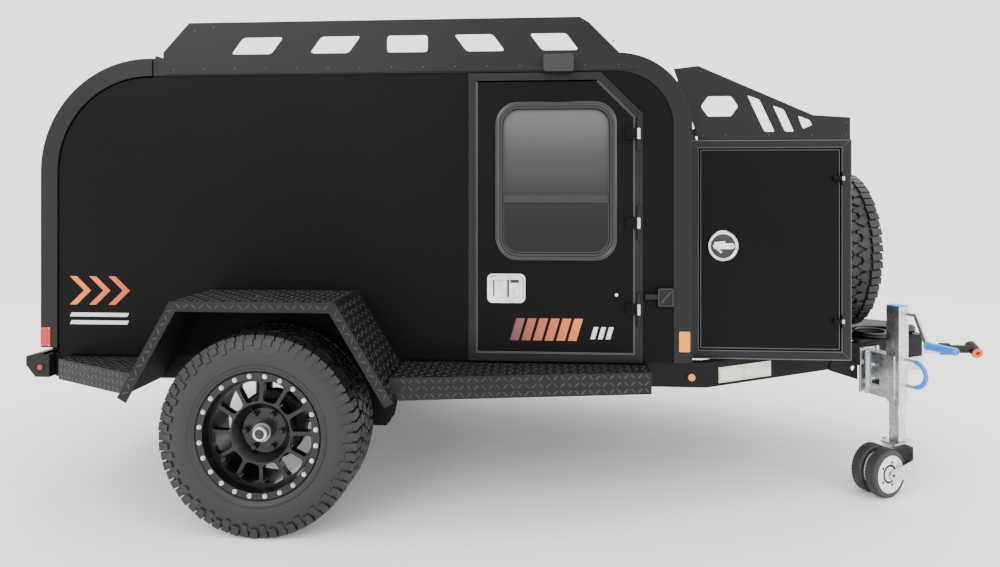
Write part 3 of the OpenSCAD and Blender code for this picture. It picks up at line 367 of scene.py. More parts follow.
finishes = {
    "frameBlack": satinBlack("satin enamel on steel tube", ("#0a0a0b", "#101011"), 0.45, 1.6, 0.00008, 0.12),
    "bodyBlack": satinBlack("textured powder coat on aluminium", ("#070708", "#0b0b0c"), 0.5, 1.1, 0.00012,
                            0.08),
    "trimBlack": satinBlack("satin powder coat on folded sheet", ("#121213", "#181819"), 0.4, 1.8, 0.00008),
    "plate": plateBlack("coated checker plate"),
    # raised bars coloured a shade lighter than the plate between them
    "plateBar": satinBlack("lighter bar of checker plate", ("#19191a", "#29292b"), 0.32, 2.5, 0.00006, 0.4),
    "wood": birchPly("lacquered birch plywood"),
    "cover": wovenCover("woven polyester ticking"),
    "zinc": plated("zinc plated steel", ("#b9bbbe", "#e6e8ea"), 0.3),
    "chrome": plated("chrome plated die cast zinc", ("#c9cbce", "#f0f1f2"), 0.14, 40),
    "bolt": plated("bright zinc bolt", ("#a9abae", "#dfe0e2"), 0.28, 8),
    "lamp": moulded("gloss ABS lamp housing", ("#131314", "#1b1b1c"), 0.22),
    "black": moulded("matt black ABS", ("#141415", "#1d1d1e"), 0.5),
    "redLens": lensPlastic("red acrylic lens", ("#a40a00", "#cc1200")),
    "amberLens": lensPlastic("amber acrylic lens", ("#d07c00", "#e89200")),
    "clearLens": lensPlastic("clear lens over emitters", ("#8f9296", "#c9ccd0")),
    "tyre": moulded("vulcanised tyre rubber", ("#171717", "#222222"), 0.46, 3.5, 0.0002,
                    **{"Specular IOR Level": 0.4}),
    "rim": satinBlack("satin enamel on cast alloy", ("#080809", "#0e0e0f"), 0.28, 2.2, 0.00005, 0.4),
    # smoked glass with a painted reflection graded up the pane
    "glass": smokedGlassWithPaintedReflection("smoked acrylic window with painted reflection", 1.036, 1.256, 1.61),
    "castorRubber": moulded("solid rubber castor tread", ("#1e1e1f", "#2b2b2c"), 0.6),
    "castorWhite": moulded("white nylon castor hub", ("#dcdcda", "#ecece9"), 0.4),
    "couplerBlack": satinBlack("enamel on forged steel", ("#111112", "#1a1a1b"), 0.34, 4, 0.00015),
    "orange": moulded("orange polyurethane bush", ("#d8472a", "#ee5c3a"), 0.34),
    "sheath": moulded("black PVC cable sheath", ("#111112", "#1a1a1b"), 0.42),
    "blue": moulded("blue dipped PVC grip", ("#0869cf", "#0f82ee"), 0.34),
    # painted highlight: pale grey for the light caught along edges
    "edge": satinBlack("painted highlight along an edge", ("#3c3d3f", "#525356"), 0.34, 5, 0.00006),
    "rivet": satinBlack("painted rivet head", ("#2d2d2e", "#3d3d3f"), 0.3, 2, 0.00004),
    "paleField": moulded("pale printed vinyl", ("#c9c8c2", "#e2e1dc"), 0.4),
    "sunset": fadedStripe("plum to amber vinyl", axleX + 0.92, axleX + 1.223, "#451428", "#e06a04"),
    "sunrise": fadedStripe("amber vinyl", axleX - 0.924, axleX - 0.663, "#e07000", "#c04000"),
    "capMetal": plated("satin grease cap", ("#67686a", "#98999b"), 0.33, 30),
    "drum": plated("brake drum casting", ("#2b2b2c", "#4a4a4b"), 0.5, 18),
    "piping": moulded("woven piping", ("#4c4e52", "#5e6065"), 0.85),
    "steelPlate": plated("brushed steel data plate", ("#b6a98a", "#d9d2bd"), 0.3, 60),
}

# Finish of each carried-over node
nodeFinish = dict(
    frame_rails="frameBlack", crossmembers="frameBlack", a_frame_nose="frameBlack", floor="bodyBlack",
    right_wall="bodyBlack", left_wall="bodyBlack", roof="bodyBlack", front_wall="bodyBlack",
    galley_cabinet="wood", mattress="cover", edge_trims="trimBlack", door_frame_right="trimBlack",
    door_frame_left="trimBlack", hinge_knuckles="trimBlack", roof_rack_sides="trimBlack",
    roof_rack_bars="trimBlack", porch_lights="lamp", tail_lights="redLens", marker_lights="amberLens",
    fender_right="plate", fender_left="plate", side_steps="plate", rear_bumper="trimBlack",
    suspension_mounts="frameBlack", trailing_arms="frameBlack", tongue_box="trimBlack",
    tongue_rack="trimBlack", spare_carrier="frameBlack", spare_tyre="tyre", spare_rim="rim",
    jack_mount="zinc", coupler_channel="zinc", lead_cable="sheath", lead_coil="sheath", lead_plug="lamp",
    tyre_right="tyre", rim_right="rim", tyre_left="tyre", rim_left="rim", cabin_door_right="bodyBlack",
    door_glass_right="glass", door_latch_right="chrome", cabin_door_left="bodyBlack",
    door_glass_left="glass", door_latch_left="chrome", rear_hatch="trimBlack", box_door_right="bodyBlack",
    box_latch_right="chrome", box_door_left="bodyBlack", box_latch_left="chrome", jack_tube="zinc",
    jack_handles="zinc", jack_leg="zinc", jack_fork="zinc", jack_wheels="castorRubber",
    coupler_head="couplerBlack", coupler_bushing="orange")

# Width in metres of the worn, rounded edge on each carried-over node; thin sheet takes less
edgeWidths = dict(
    default=0.0016, roof_rack_sides=0.001, edge_trims=0.001, tongue_rack=0.001, fender_right=0.0012,
    fender_left=0.0012, side_steps=0.0012, door_latch_right=0.001, door_latch_left=0.001,
    box_latch_right=0.001, box_latch_left=0.001, jack_tube=0.0012, jack_fork=0.001, frame_rails=0.004,
    rear_bumper=0.003, rear_hatch=0.0015, hinge_knuckles=0.0006, coupler_channel=0.001, jack_mount=0.001,
    marker_lights=0.001, tail_lights=0.001)

for nodeName, node in frame["nodes"].items():
    node.data.materials.clear()
    node.data.materials.append(finishes[nodeFinish[nodeName]])
    node.data.polygons.foreach_set("use_smooth", [True] * len(node.data.polygons))
    if "custom_normal" in node.data.attributes:
        node.data.attributes.remove(node.data.attributes["custom_normal"])
    weld = node.modifiers.new("weld", "WELD")
    weld.merge_threshold = 0.00002
    if not nodeName.startswith("fender"):  # dissolving would close the fender's open ends
        flat = node.modifiers.new("flatFaces", "DECIMATE")
        flat.decimate_type = "DISSOLVE"
        flat.angle_limit = math.radians(0.4)
    softenEdges(node, edgeWidths.get(nodeName, edgeWidths["default"]))
print("materials on", len(frame["nodes"]), "nodes")


# towing lead: out of its gland, over the nose deck, one small coil, and its plug

lead = dict(diameter=0.012, length=2.02, turns=2.6667, outer=0.078, inner=0.066, low=0.006, high=0.0185,
            coil=(0.280, -0.025), gland=-0.190, steps=3, coilSteps=72)
leadRun = [(0, 0, 13), (40, 0, 12), (90, 4, 7), (140, 22, 6), (190, 62, 6), (240, 112, 6), (290, 147, 6),
           (343, 161, 6), (388, 161, 6), (415, 154, 6), (435, 134, 6), (442, 107, 6), (435, 80, 6),
           (415, 60, 6), (388, 53, 6), (334, 53, 6), (304, 53, 6)]
leadTail = [(347, -64, 18), (360, -44, 18), (378, -27, 19), (402, -14, 21), (427, -1, 22)]
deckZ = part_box("a_frame_nose")[1].z
glandEnd = Vector((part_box("tongue_box")[1].x, lead["gland"], deckZ))


def ease(s):
    s = min(max(s, 0), 1)
    return s * s * (3 - 2 * s)


def coilPoint(t):
    # Turn 0 lies outside, turn 1 inside it, and turn 2 on top of them
    angle = math.radians(90) + 2 * math.pi * t
    inward = ease((t - 0.75) / 0.25) - ease((t - 2.15) / 0.25)
    radius = lead["outer"] + (lead["inner"] - lead["outer"]) * inward
    height = lead["low"] + (lead["high"] - lead["low"]) * ease((t - 1.4) / 0.25)
    return Vector((lead["coil"][0] + radius * math.cos(angle), lead["coil"][1] + radius * math.sin(angle),
                   height))


def curvePoint(a, b, c, d, s):
    return (b + s * (c - a) / 2 + s * s * (2 * a - 5 * b + 4 * c - d) / 2
            + s ** 3 * (3 * b - a - 3 * c + d) / 2)


def smoothRoute(points, steps):
    out = []
    last = len(points) - 1
    for i in range(last):
        a, b, c, d = points[max(i - 1, 0)], points[i], points[i + 1], points[min(i + 2, last)]
        out += [curvePoint(a, b, c, d, k / steps) for k in range(steps)]
    return out + [points[last]]


leadPoints = smoothRoute([Vector(p) / 1000 for p in leadRun], lead["steps"])
leadPoints += [coilPoint(k * lead["turns"] / lead["coilSteps"]) for k in range(lead["coilSteps"])]
leadPoints += smoothRoute([Vector(p) / 1000 for p in leadTail], lead["steps"])
leadPoints = [glandEnd + p for p in leadPoints]
leadCurve = bpy.data.curves.new("towing_lead", "CURVE")
leadCurve.dimensions = "3D"
leadCurve.bevel_depth = lead["diameter"] / 2
leadCurve.bevel_resolution = 4
leadCurve.use_fill_caps = True
spline = leadCurve.splines.new("POLY")
spline.points.add(len(leadPoints) - 1)
for point, spot in zip(spline.points, leadPoints):
    point.co = (*spot, 1)
leadPiece = bpy.data.objects.new("towing_lead", leadCurve)
bpy.context.scene.collection.objects.link(leadPiece)
leadCurve.materials.append(finishes["sheath"])
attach(leadPiece, "trailer")
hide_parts("lead_cable", "lead_coil")

# Round seven-pin plug: ribbed grip, collar, hinged cap and a tapered cable boot
plug = dict(boot=0.030, face=0.082, radius=0.0215, heading=math.radians(28), ribs=16)
plugPlace = alongAxis(leadPoints[-1], (math.cos(plug["heading"]), math.sin(plug["heading"]), 0))
bm = bmesh.new()
profile = [(0.0, 0.0), (0.0085, 0.0), (0.0095, 0.006), (0.0115, 0.016), (0.014, plug["boot"]),
           (0.019, plug["boot"] + 0.003), (plug["radius"] - 0.001, 0.042), (plug["radius"], 0.046),
           (plug["radius"], plug["face"] - 0.004), (plug["radius"] - 0.002, plug["face"]),
           (0.017, plug["face"]), (0.017, plug["face"] - 0.008), (0.0, plug["face"] - 0.008)]
spunInto(bm, profile, plugPlace, 40, closed=False)
for k in range(plug["ribs"]):
    around = Matrix.Rotation(2 * math.pi * k / plug["ribs"], 4, "Z")
    boxInto(bm, (plug["radius"] - 0.0015, -0.0016, 0.050), (plug["radius"] + 0.0005, 0.0016, 0.070),
            plugPlace @ around)
plugPiece = finishPiece("lead_plug_body", bm, "trailer", finishes["lamp"], ["lead_plug"],
                        sharp=30)
print("towing lead", round(sum((b - a).length for a, b in zip(leadPoints, leadPoints[1:])), 4))


# tyres: carcass spun from its section, with the all-terrain blocks stamped round it

tyre = dict(radius=0.380, half=0.1325, bead=0.221, tread=0.011, shoulderBlocks=62, centreBlocks=46)


def blockTemplate(size, bevel):
    bm = bmesh.new()
    bmesh.ops.create_cube(bm, size=1, matrix=Matrix.Diagonal((*size, 1)))
    top = [e for e in bm.edges if all(v.co.x > 0 for v in e.verts)]
    bmesh.ops.bevel(bm, geom=top, offset=bevel, affect="EDGES", segments=1, profile=0.5, material=-1)
    return templateMesh("block", bm)


def makeTyre(name, body, centre, outward, replaced):
    r, h, bead, deep = tyre["radius"], tyre["half"], tyre["bead"], tyre["tread"]
    place = alongAxis(centre, outward)
    side = [(bead - 0.006, h - 0.044), (bead + 0.002, h - 0.034), (bead + 0.013, h - 0.024),
            (bead + 0.020, h - 0.013), (bead + 0.030, h - 0.009), (bead + 0.034, h - 0.005),
            (bead + 0.040, h - 0.005), (bead + 0.043, h - 0.008), (bead + 0.062, h - 0.002),
            (r - 0.070, h - 0.001), (r - 0.064, h - 0.003), (r - 0.040, h - 0.008),
            (r - 0.022, h - 0.016), (r - deep - 0.002, h - 0.030), (r - deep, h - 0.050)]
    section = side + [(q, -z) for q, z in reversed(side)]
    bm = bmesh.new()
    spunInto(bm, section, place, 96)
    shoulder = blockTemplate((0.018, 0.0315, 0.048), 0.002)
    lugs = [blockTemplate((0.044, 0.020, 0.011), 0.0025), blockTemplate((0.030, 0.024, 0.011), 0.0025)]
    middle = blockTemplate((deep + 0.004, 0.040, 0.034), 0.002)
    sipe = blockTemplate((deep + 0.004, 0.016, 0.020), 0.0015)
    for end in (-1, 1):
        for k in range(tyre["shoulderBlocks"]):
            share = (k + (0.25 if end > 0 else 0.75)) / tyre["shoulderBlocks"]
            turn = Matrix.Rotation(2 * math.pi * share, 4, "Z")
            outset = 0.003 * (k % 2)
            lean = Matrix.Rotation(math.radians(7 * end), 4, "X")
            tilt = Matrix.Rotation(math.radians(-7 * end), 4, "Y")
            spot = Matrix.Translation((r - 0.0108, 0, end * (h - 0.0335 - outset)))
            stamp(bm, shoulder, place @ turn @ spot @ tilt @ lean)
            long = k % 2
            drop = Matrix.Translation((r - (0.036 if long else 0.029), 0, end * (h - 0.0125)))
            slope = Matrix.Rotation(math.radians(19 * end), 4, "Y")
            stamp(bm, lugs[1 - long], place @ turn @ drop @ slope)
    for row, (offset, phase) in enumerate([(-0.044, 0.0), (0.0, 0.5), (0.044, 0.0)]):
        for k in range(tyre["centreBlocks"]):
            turn = Matrix.Rotation(2 * math.pi * (k + phase) / tyre["centreBlocks"], 4, "Z")
            skew = Matrix.Rotation(math.radians(24 if (k + row) % 2 else -24), 4, "X")
            stamp(bm, middle, place @ turn @ Matrix.Translation((r - deep / 2 - 0.002, 0, offset)) @ skew)
            if row == 1:
                step = Matrix.Rotation(math.pi / tyre["centreBlocks"], 4, "Z")
                for z in (-0.022, 0.022):
                    stamp(bm, sipe, place @ turn @ step @ Matrix.Translation((r - deep / 2 - 0.002, 0, z)))
    return finishPiece(name, bm, body, finishes["tyre"], [replaced], sharp=28, merge=False)


def fastenerTemplate(radius, height, sides=6):
    bm = bmesh.new()
    bmesh.ops.create_cone(bm, cap_ends=True, segments=sides, radius1=radius, radius2=radius * 0.92,
                          depth=height, matrix=Matrix.Translation((0, 0, height / 2)))
    return templateMesh("fastener", bm)


rimFit = dict(ring=0.2225, ringFace=0.1185, bolts=24, boltRadius=0.0062, disc=0.0515, nuts=6, stud=0.06985,
              valve=0.190, cap=0.098)


def dressRim(name, body, centre, outward, hub):
    # Ring bolts with washers, lug nuts, valve and the bright ring of the grease cap
    place = alongAxis(centre, outward)
    bm = bmesh.new()
    head = fastenerTemplate(rimFit["boltRadius"], 0.0055, 12)
    washer = fastenerTemplate(rimFit["boltRadius"] * 1.5, 0.0012, 16)
    for k in range(rimFit["bolts"]):
        spot = place @ Matrix.Rotation(2 * math.pi * (k + 0.5) / rimFit["bolts"], 4, "Z") @ Matrix.Translation(
            (rimFit["ring"], 0, rimFit["ringFace"]))
        stamp(bm, washer, spot)
        stamp(bm, head, spot @ Matrix.Translation((0, 0, 0.001)))
    finishPiece(name + "_ring_bolts", bm, body, finishes["bolt"], sharp=25, merge=False)
    bm = bmesh.new()
    nut = fastenerTemplate(0.0122, 0.020)
    for k in range(rimFit["nuts"]):
        stamp(bm, nut, place @ Matrix.Rotation(2 * math.pi * k / rimFit["nuts"], 4, "Z")
              @ Matrix.Translation((rimFit["stud"], 0, rimFit["disc"] - 0.003)))
    valve = place @ Matrix.Rotation(math.radians(15), 4, "Z") @ Vector((rimFit["valve"], 0, 0.070))
    discInto(bm, valve, outward, 0.0042, 0.034, 12, 0.0035)
    finishPiece(name + "_nuts", bm, body, finishes["couplerBlack"], sharp=25, merge=False)
    if hub:
        bm = bmesh.new()
        top = rimFit["cap"]
        barrel = [(0.0363, 0.0485), (0.0368, 0.0500), (0.0368, 0.0785), (0.0350, 0.0806), (0.0292, 0.0808),
                  (0.0290, top - 0.001), (0.0260, top + 0.0012), (0.0182, top + 0.0010), (0.0182, top - 0.0005),
                  (0.0250, top - 0.001), (0.0270, 0.0790), (0.0340, 0.0780), (0.0345, 0.0485)]
        spunInto(bm, barrel, place, 48)
        finishPiece(name + "_cap_sleeve", bm, body, finishes["capMetal"], sharp=30)
        bm = bmesh.new()
        spunInto(bm, [(0.0255, top + 0.0008), (0.0235, top + 0.0026), (0.0195, top + 0.0026),
                      (0.0178, top + 0.0008)], place, 40)
        finishPiece(name + "_cap_ring", bm, body, finishes["bolt"], sharp=30)
        bm = bmesh.new()
        discInto(bm, place @ Vector((0, 0, top - 0.001)), outward, 0.0180, 0.003, 32, 0.015)
        finishPiece(name + "_cap_plug", bm, body, finishes["black"], bevel=0.0006)
        bm = bmesh.new()
        spunInto(bm, [(0.070, -0.056), (0.128, -0.056), (0.134, -0.050), (0.134, -0.014), (0.126, -0.008),
                      (0.070, -0.008)], place, 56)
        finishPiece(name + "_drum", bm, body, finishes["drum"], sharp=30)


for side in (-1, 1):
    hand = sidePlaces(side)
    centre = Vector(joints["wheel_" + hand + "_spin"]["pos_m"])
    makeTyre("tyre_tread_" + hand, "wheel_" + hand, centre, (0, side, 0), "tyre_" + hand)
    dressRim("wheel_" + hand, "wheel_" + hand, centre, (0, side, 0), True)
spareLow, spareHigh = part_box("spare_tyre")
spareCentre = (spareLow + spareHigh) / 2
makeTyre("tyre_tread_spare", "trailer", spareCentre, (1, 0, 0), "spare_tyre")
dressRim("spare", "trailer", spareCentre, (1, 0, 0), False)
print("tyres and rims")


# Helpers for the fittings on the two long sides, in millimetres from the axle

def sideBox(bm, side, x, y, z):
    a, b = sorted((side * y[0] / 1000, side * y[1] / 1000))
    boxInto(bm, cad(x[0] / 1000, a, z[0] / 1000), cad(x[1] / 1000, b, z[1] / 1000))


def sideLine(bm, side, start, end, width, y):
    # A straight strip between two (x, z) points on the side
    run = Vector((end[0] - start[0], 0, end[1] - start[1])) / 1000
    low, high = sorted((side * y[0] / 1000, side * y[1] / 1000))
    middle = cad((start[0] + end[0]) / 2000, 0, (start[1] + end[1]) / 2000)
    turn = Matrix.Translation(middle) @ Matrix.Rotation(-math.atan2(run.z, run.x), 4, "Y")
    boxInto(bm, (-run.length / 2, low, -width / 2000), (run.length / 2, high, width / 2000), turn)


def sideLoop(side, points, y):
    return [cad(x / 1000, side * y / 1000, z / 1000) for x, z in points]


def sideDisc(bm, side, x, z, radius, y, top=None, segments=32):
    discInto(bm, cad(x / 1000, side * y[0] / 1000, z / 1000), (0, side, 0), radius / 1000,
             (y[1] - y[0]) / 1000, segments, None if top is None else top / 1000)


# Checker plate: pairs of raised lens-shaped bars set across one another on fenders, lips and steps

checker = dict(pitch=0.030, lipPitch=0.029, skirtPitch=0.027, length=0.029, width=0.0072, height=0.0016,
               margin=0.006)


def barTemplate():
    bm = bmesh.new()
    half, wide = checker["length"] / 2, checker["width"] / 2
    outline = [(-half, 0), (-half * 0.6, -wide * 0.8), (0, -wide), (half * 0.6, -wide * 0.8), (half, 0),
               (half * 0.6, wide * 0.8), (0, wide), (-half * 0.6, wide * 0.8)]
    foot = loopInto(bm, [(x, y, -0.0002) for x, y in outline])
    crown = loopInto(bm, [(x * 0.8, y * 0.45, checker["height"]) for x, y in outline])
    bmesh.ops.bridge_loops(bm, edges=foot + crown)
    bmesh.ops.contextual_create(bm, geom=crown)
    bmesh.ops.recalc_face_normals(bm, faces=bm.faces)
    return templateMesh("bar", bm)


def platePanel(bm, template, origin, along, normal, outline, pitch=None):
    # outline is a convex polygon of (along, across) in metres, where across is normal x along
    along, normal = Vector(along).normalized(), Vector(normal).normalized()
    across = normal.cross(along)
    frameOf = Matrix((along, across, normal)).transposed().to_4x4()
    area = sum(a[0] * b[1] - b[0] * a[1] for a, b in zip(outline, outline[1:] + outline[:1]))
    outline = outline if area > 0 else outline[::-1]
    pitch = pitch or checker["pitch"]
    low = [min(p[i] for p in outline) for i in (0, 1)]
    high = [max(p[i] for p in outline) for i in (0, 1)]
    counts = [max(1, int((high[i] - low[i]) / pitch)) for i in (0, 1)]
    for i in range(counts[0]):
        for j in range(counts[1]):
            a = (low[0] + high[0]) / 2 + (i - (counts[0] - 1) / 2) * pitch
            b = (low[1] + high[1]) / 2 + (j - (counts[1] - 1) / 2) * pitch
            depth = min(((q[0] - p[0]) * (b - p[1]) - (q[1] - p[1]) * (a - p[0])) / math.dist(p, q)
                        for p, q in zip(outline, outline[1:] + outline[:1]))
            if depth < checker["margin"]:
                continue
            lean = Matrix.Rotation(math.radians(45 if (i + j) % 2 else -45), 4, "Z")
            spot = Matrix.Translation(origin + along * a + across * b)
            stamp(bm, template, spot @ frameOf @ lean)


fender = dict(top=((-0.315, 0.881), (0.303, 0.881)), rear=(-0.514, 0.523), front=(0.517, 0.523), inner=0.806,
              outer=1.119, lip=0.038)
steps = dict(top=0.598, low=0.514, inner=0.806, front=((0.487, 1.064), (1.464, 0.918)),
             rear=((-0.932, 0.858), (-0.487, 1.070)), leg=0.034, tail=0.036)  # leg and tail clear the fender
bar = barTemplate()
for side in (-1, 1):
    bm = bmesh.new()
    route = [fender["rear"], *fender["top"], fender["front"]]
    nearest = min(side * fender["inner"], side * fender["outer"])
    for (x0, z0), (x1, z1) in zip(route, route[1:]):
        length = math.hypot(x1 - x0, z1 - z0)
        wide = fender["outer"] - fender["inner"]
        platePanel(bm, bar, cad(x0, nearest, z0), (x1 - x0, 0, z1 - z0), (z0 - z1, 0, x1 - x0),
                   [(0, 0), (length, 0), (length, wide), (0, wide)])
        lip = side * fender["lip"]
        platePanel(bm, bar, cad(x0, side * fender["outer"], z0), (x1 - x0, 0, z1 - z0), (0, side, 0),
                   [(0.012, -0.004 * side), (length - 0.012, -0.004 * side), (length - 0.020, lip * 1.05),
                    (0.020, lip * 1.05)], pitch=checker["lipPitch"])
    for name in ("front", "rear"):
        (ax, ay), (bx, by) = steps[name]
        top = [(ax, steps["inner"]), (ax, ay), (bx, by), (bx, steps["inner"])]
        platePanel(bm, bar, cad(0, 0, steps["top"]), (1, 0, 0), (0, 0, 1), [(x, side * y) for x, y in top])
        if name == "front":
            ax, ay = ax + steps["leg"], ay - steps["leg"] * (ay - by) / (bx - ax)
        else:
            bx, by = bx - steps["tail"], by - steps["tail"] * (by - ay) / (bx - ax)
        run = Vector((bx - ax, side * (by - ay), 0))
        facing = Vector((0, 0, 1)).cross(run)
        facing = facing if facing.y * side > 0 else -facing
        across = facing.normalized().cross(run.normalized())
        tall = (steps["top"] - steps["low"]) * (1 if across.z > 0 else -1)
        start = cad(ax, side * ay, steps["low"])
        platePanel(bm, bar, start, run, facing, [(0, 0), (run.length, 0), (run.length, tall), (0, tall)],
                   pitch=checker["skirtPitch"])
    finishPiece("plate_bars_" + sidePlaces(side), bm, "trailer", finishes["plateBar"],
                sharp=20, merge=False)
print("checker plate")


# Window frames with their sliding sash rail, on the cabin doors

window = dict(outer=(862, 1007, 1345, 1642), radius=88, rim=31, face=806, glass=795,
              frame=[(0, -0.5), (0, 4), (3, 7), (9, 8), (13, 4), (17, 3.6), (20, 6), (27, 5), (31, 0),
                     (31, -11)],
              bead=[(-0.5, 1), (-0.5, 4), (3, 3.6), (3, 1.4)],
              sash=[(1240, 1249, 7), (1249, 1266, 4), (1266, 1272, 6)])


def rimInto(bm, side, outer, radius, section, shrink=0.8):
    # section lists (inset, out) points, and each one makes a rounded rectangle inside the outer one
    x0, z0, x1, z1 = outer
    shellInto(bm, [sideLoop(side, roundedRect(x0 + i, z0 + i, x1 - i, z1 - i, radius - i * shrink), y)
                   for i, y in section], cap=False)


for side in (-1, 1):
    hand = sidePlaces(side)
    bm = bmesh.new()
    rimInto(bm, side, window["outer"], window["radius"], [(i, window["face"] + y) for i, y in window["frame"]])
    finishPiece("window_frame_" + hand, bm, "cabin_door_" + hand, finishes["lamp"], sharp=40)
    bm = bmesh.new()
    for low, high, out in window["sash"]:
        sideBox(bm, side, (window["outer"][0] + window["rim"], window["outer"][2] - window["rim"]),
                (window["glass"] - 0.5, window["glass"] + out), (low, high))
    finishPiece("window_sash_" + hand, bm, "cabin_door_" + hand, finishes["lamp"], bevel=0.0008)
    # pale bead inside the frame in the edge highlight finish: a painted highlight line round the glass
    bm = bmesh.new()
    rimInto(bm, side, window["outer"], window["radius"],
            [(window["rim"] + i, window["glass"] + y) for i, y in window["bead"]])
    finishPiece("window_highlight_bead_" + hand, bm, "cabin_door_" + hand, finishes["edge"], sharp=40)

# Bright sleeves on the doors' own hinge knuckles, between the dark ones of the frames

hingeSleeve = dict(
    cabin=dict(x=1429, y=816, radius=7.7, height=43, feet=(796.5, 1137.5, 1490.5)),
    box=dict(x=2249, y=728, radius=6.6, height=16, feet=(756, 1328)))
for side in (-1, 1):
    for leaf, sleeve in hingeSleeve.items():
        bm = bmesh.new()
        for foot in sleeve["feet"]:
            discInto(bm, cad(sleeve["x"] / 1000, side * sleeve["y"] / 1000, foot / 1000), (0, 0, 1),
                     sleeve["radius"] / 1000, sleeve["height"] / 1000)
        finishPiece(leaf + "_hinge_sleeves_" + sidePlaces(side), bm, leaf + "_door_" + sidePlaces(side),
                    finishes["bolt"], bevel=0.0006)

# Painted highlights: thin pale lines round the doors, their frames and the tongue box, standing for light
# caught along the edges

edgeLine = dict(width=3, proud=0.6)
doorOutline = [(789, 642), (1410, 642), (1410, 1578), (1266, 1722), (789, 1722)]
frameOutline = [(785, 638), (1414, 638), (1414, 1580), (1268, 1726), (785, 1726)]
boxFrame = [(1648, 608), (2283, 608), (2283, 1490), (1648, 1490)]
boxOpening = [(1681, 640), (2248, 640), (2248, 1461), (1681, 1461)]
boxLeaf = [(1691, 650), (2238, 650), (2238, 1451), (1691, 1451)]


def outlineInto(bm, side, points, y, width, skip=()):
    for i, (a, b) in enumerate(zip(points, points[1:] + points[:1])):
        if i not in skip:
            sideLine(bm, side, a, b, width, y)


for side in (-1, 1):
    hand = sidePlaces(side)
    wide, proud = edgeLine["width"], edgeLine["proud"]
    # painted highlight lines along the edges of each door and box leaf
    for name, body, points, face, skip in (
            ("door_painted_highlight_", "cabin_door_", doorOutline, 806, (3,)),
            ("box_leaf_painted_highlight_", "box_door_", boxLeaf, 718, ())):
        bm = bmesh.new()
        outlineInto(bm, side, points, (face - 0.4, face + proud), wide, skip)
        finishPiece(name + hand, bm, body + hand, finishes["edge"], bevel=0.0003)
    bm = bmesh.new()
    # painted highlight lines along the door frame, the box frame and its opening, with short lines across the
    # box frame's corners
    outlineInto(bm, side, frameOutline, (807.6, 808 + proud), wide, (3,))
    outlineInto(bm, side, boxFrame, (719.6, 720 + proud), wide + 1)
    outlineInto(bm, side, boxOpening, (719.6, 720 + proud), wide)
    for a, b in zip(boxFrame, boxOpening):
        sideLine(bm, side, a, b, 1.4, (719.6, 720.4))
    finishPiece("frame_painted_highlight_" + hand, bm, "trailer", finishes["edge"], bevel=0.0003)
print("windows and edges")

# Paddle latch, box latch, hold-back and lamps

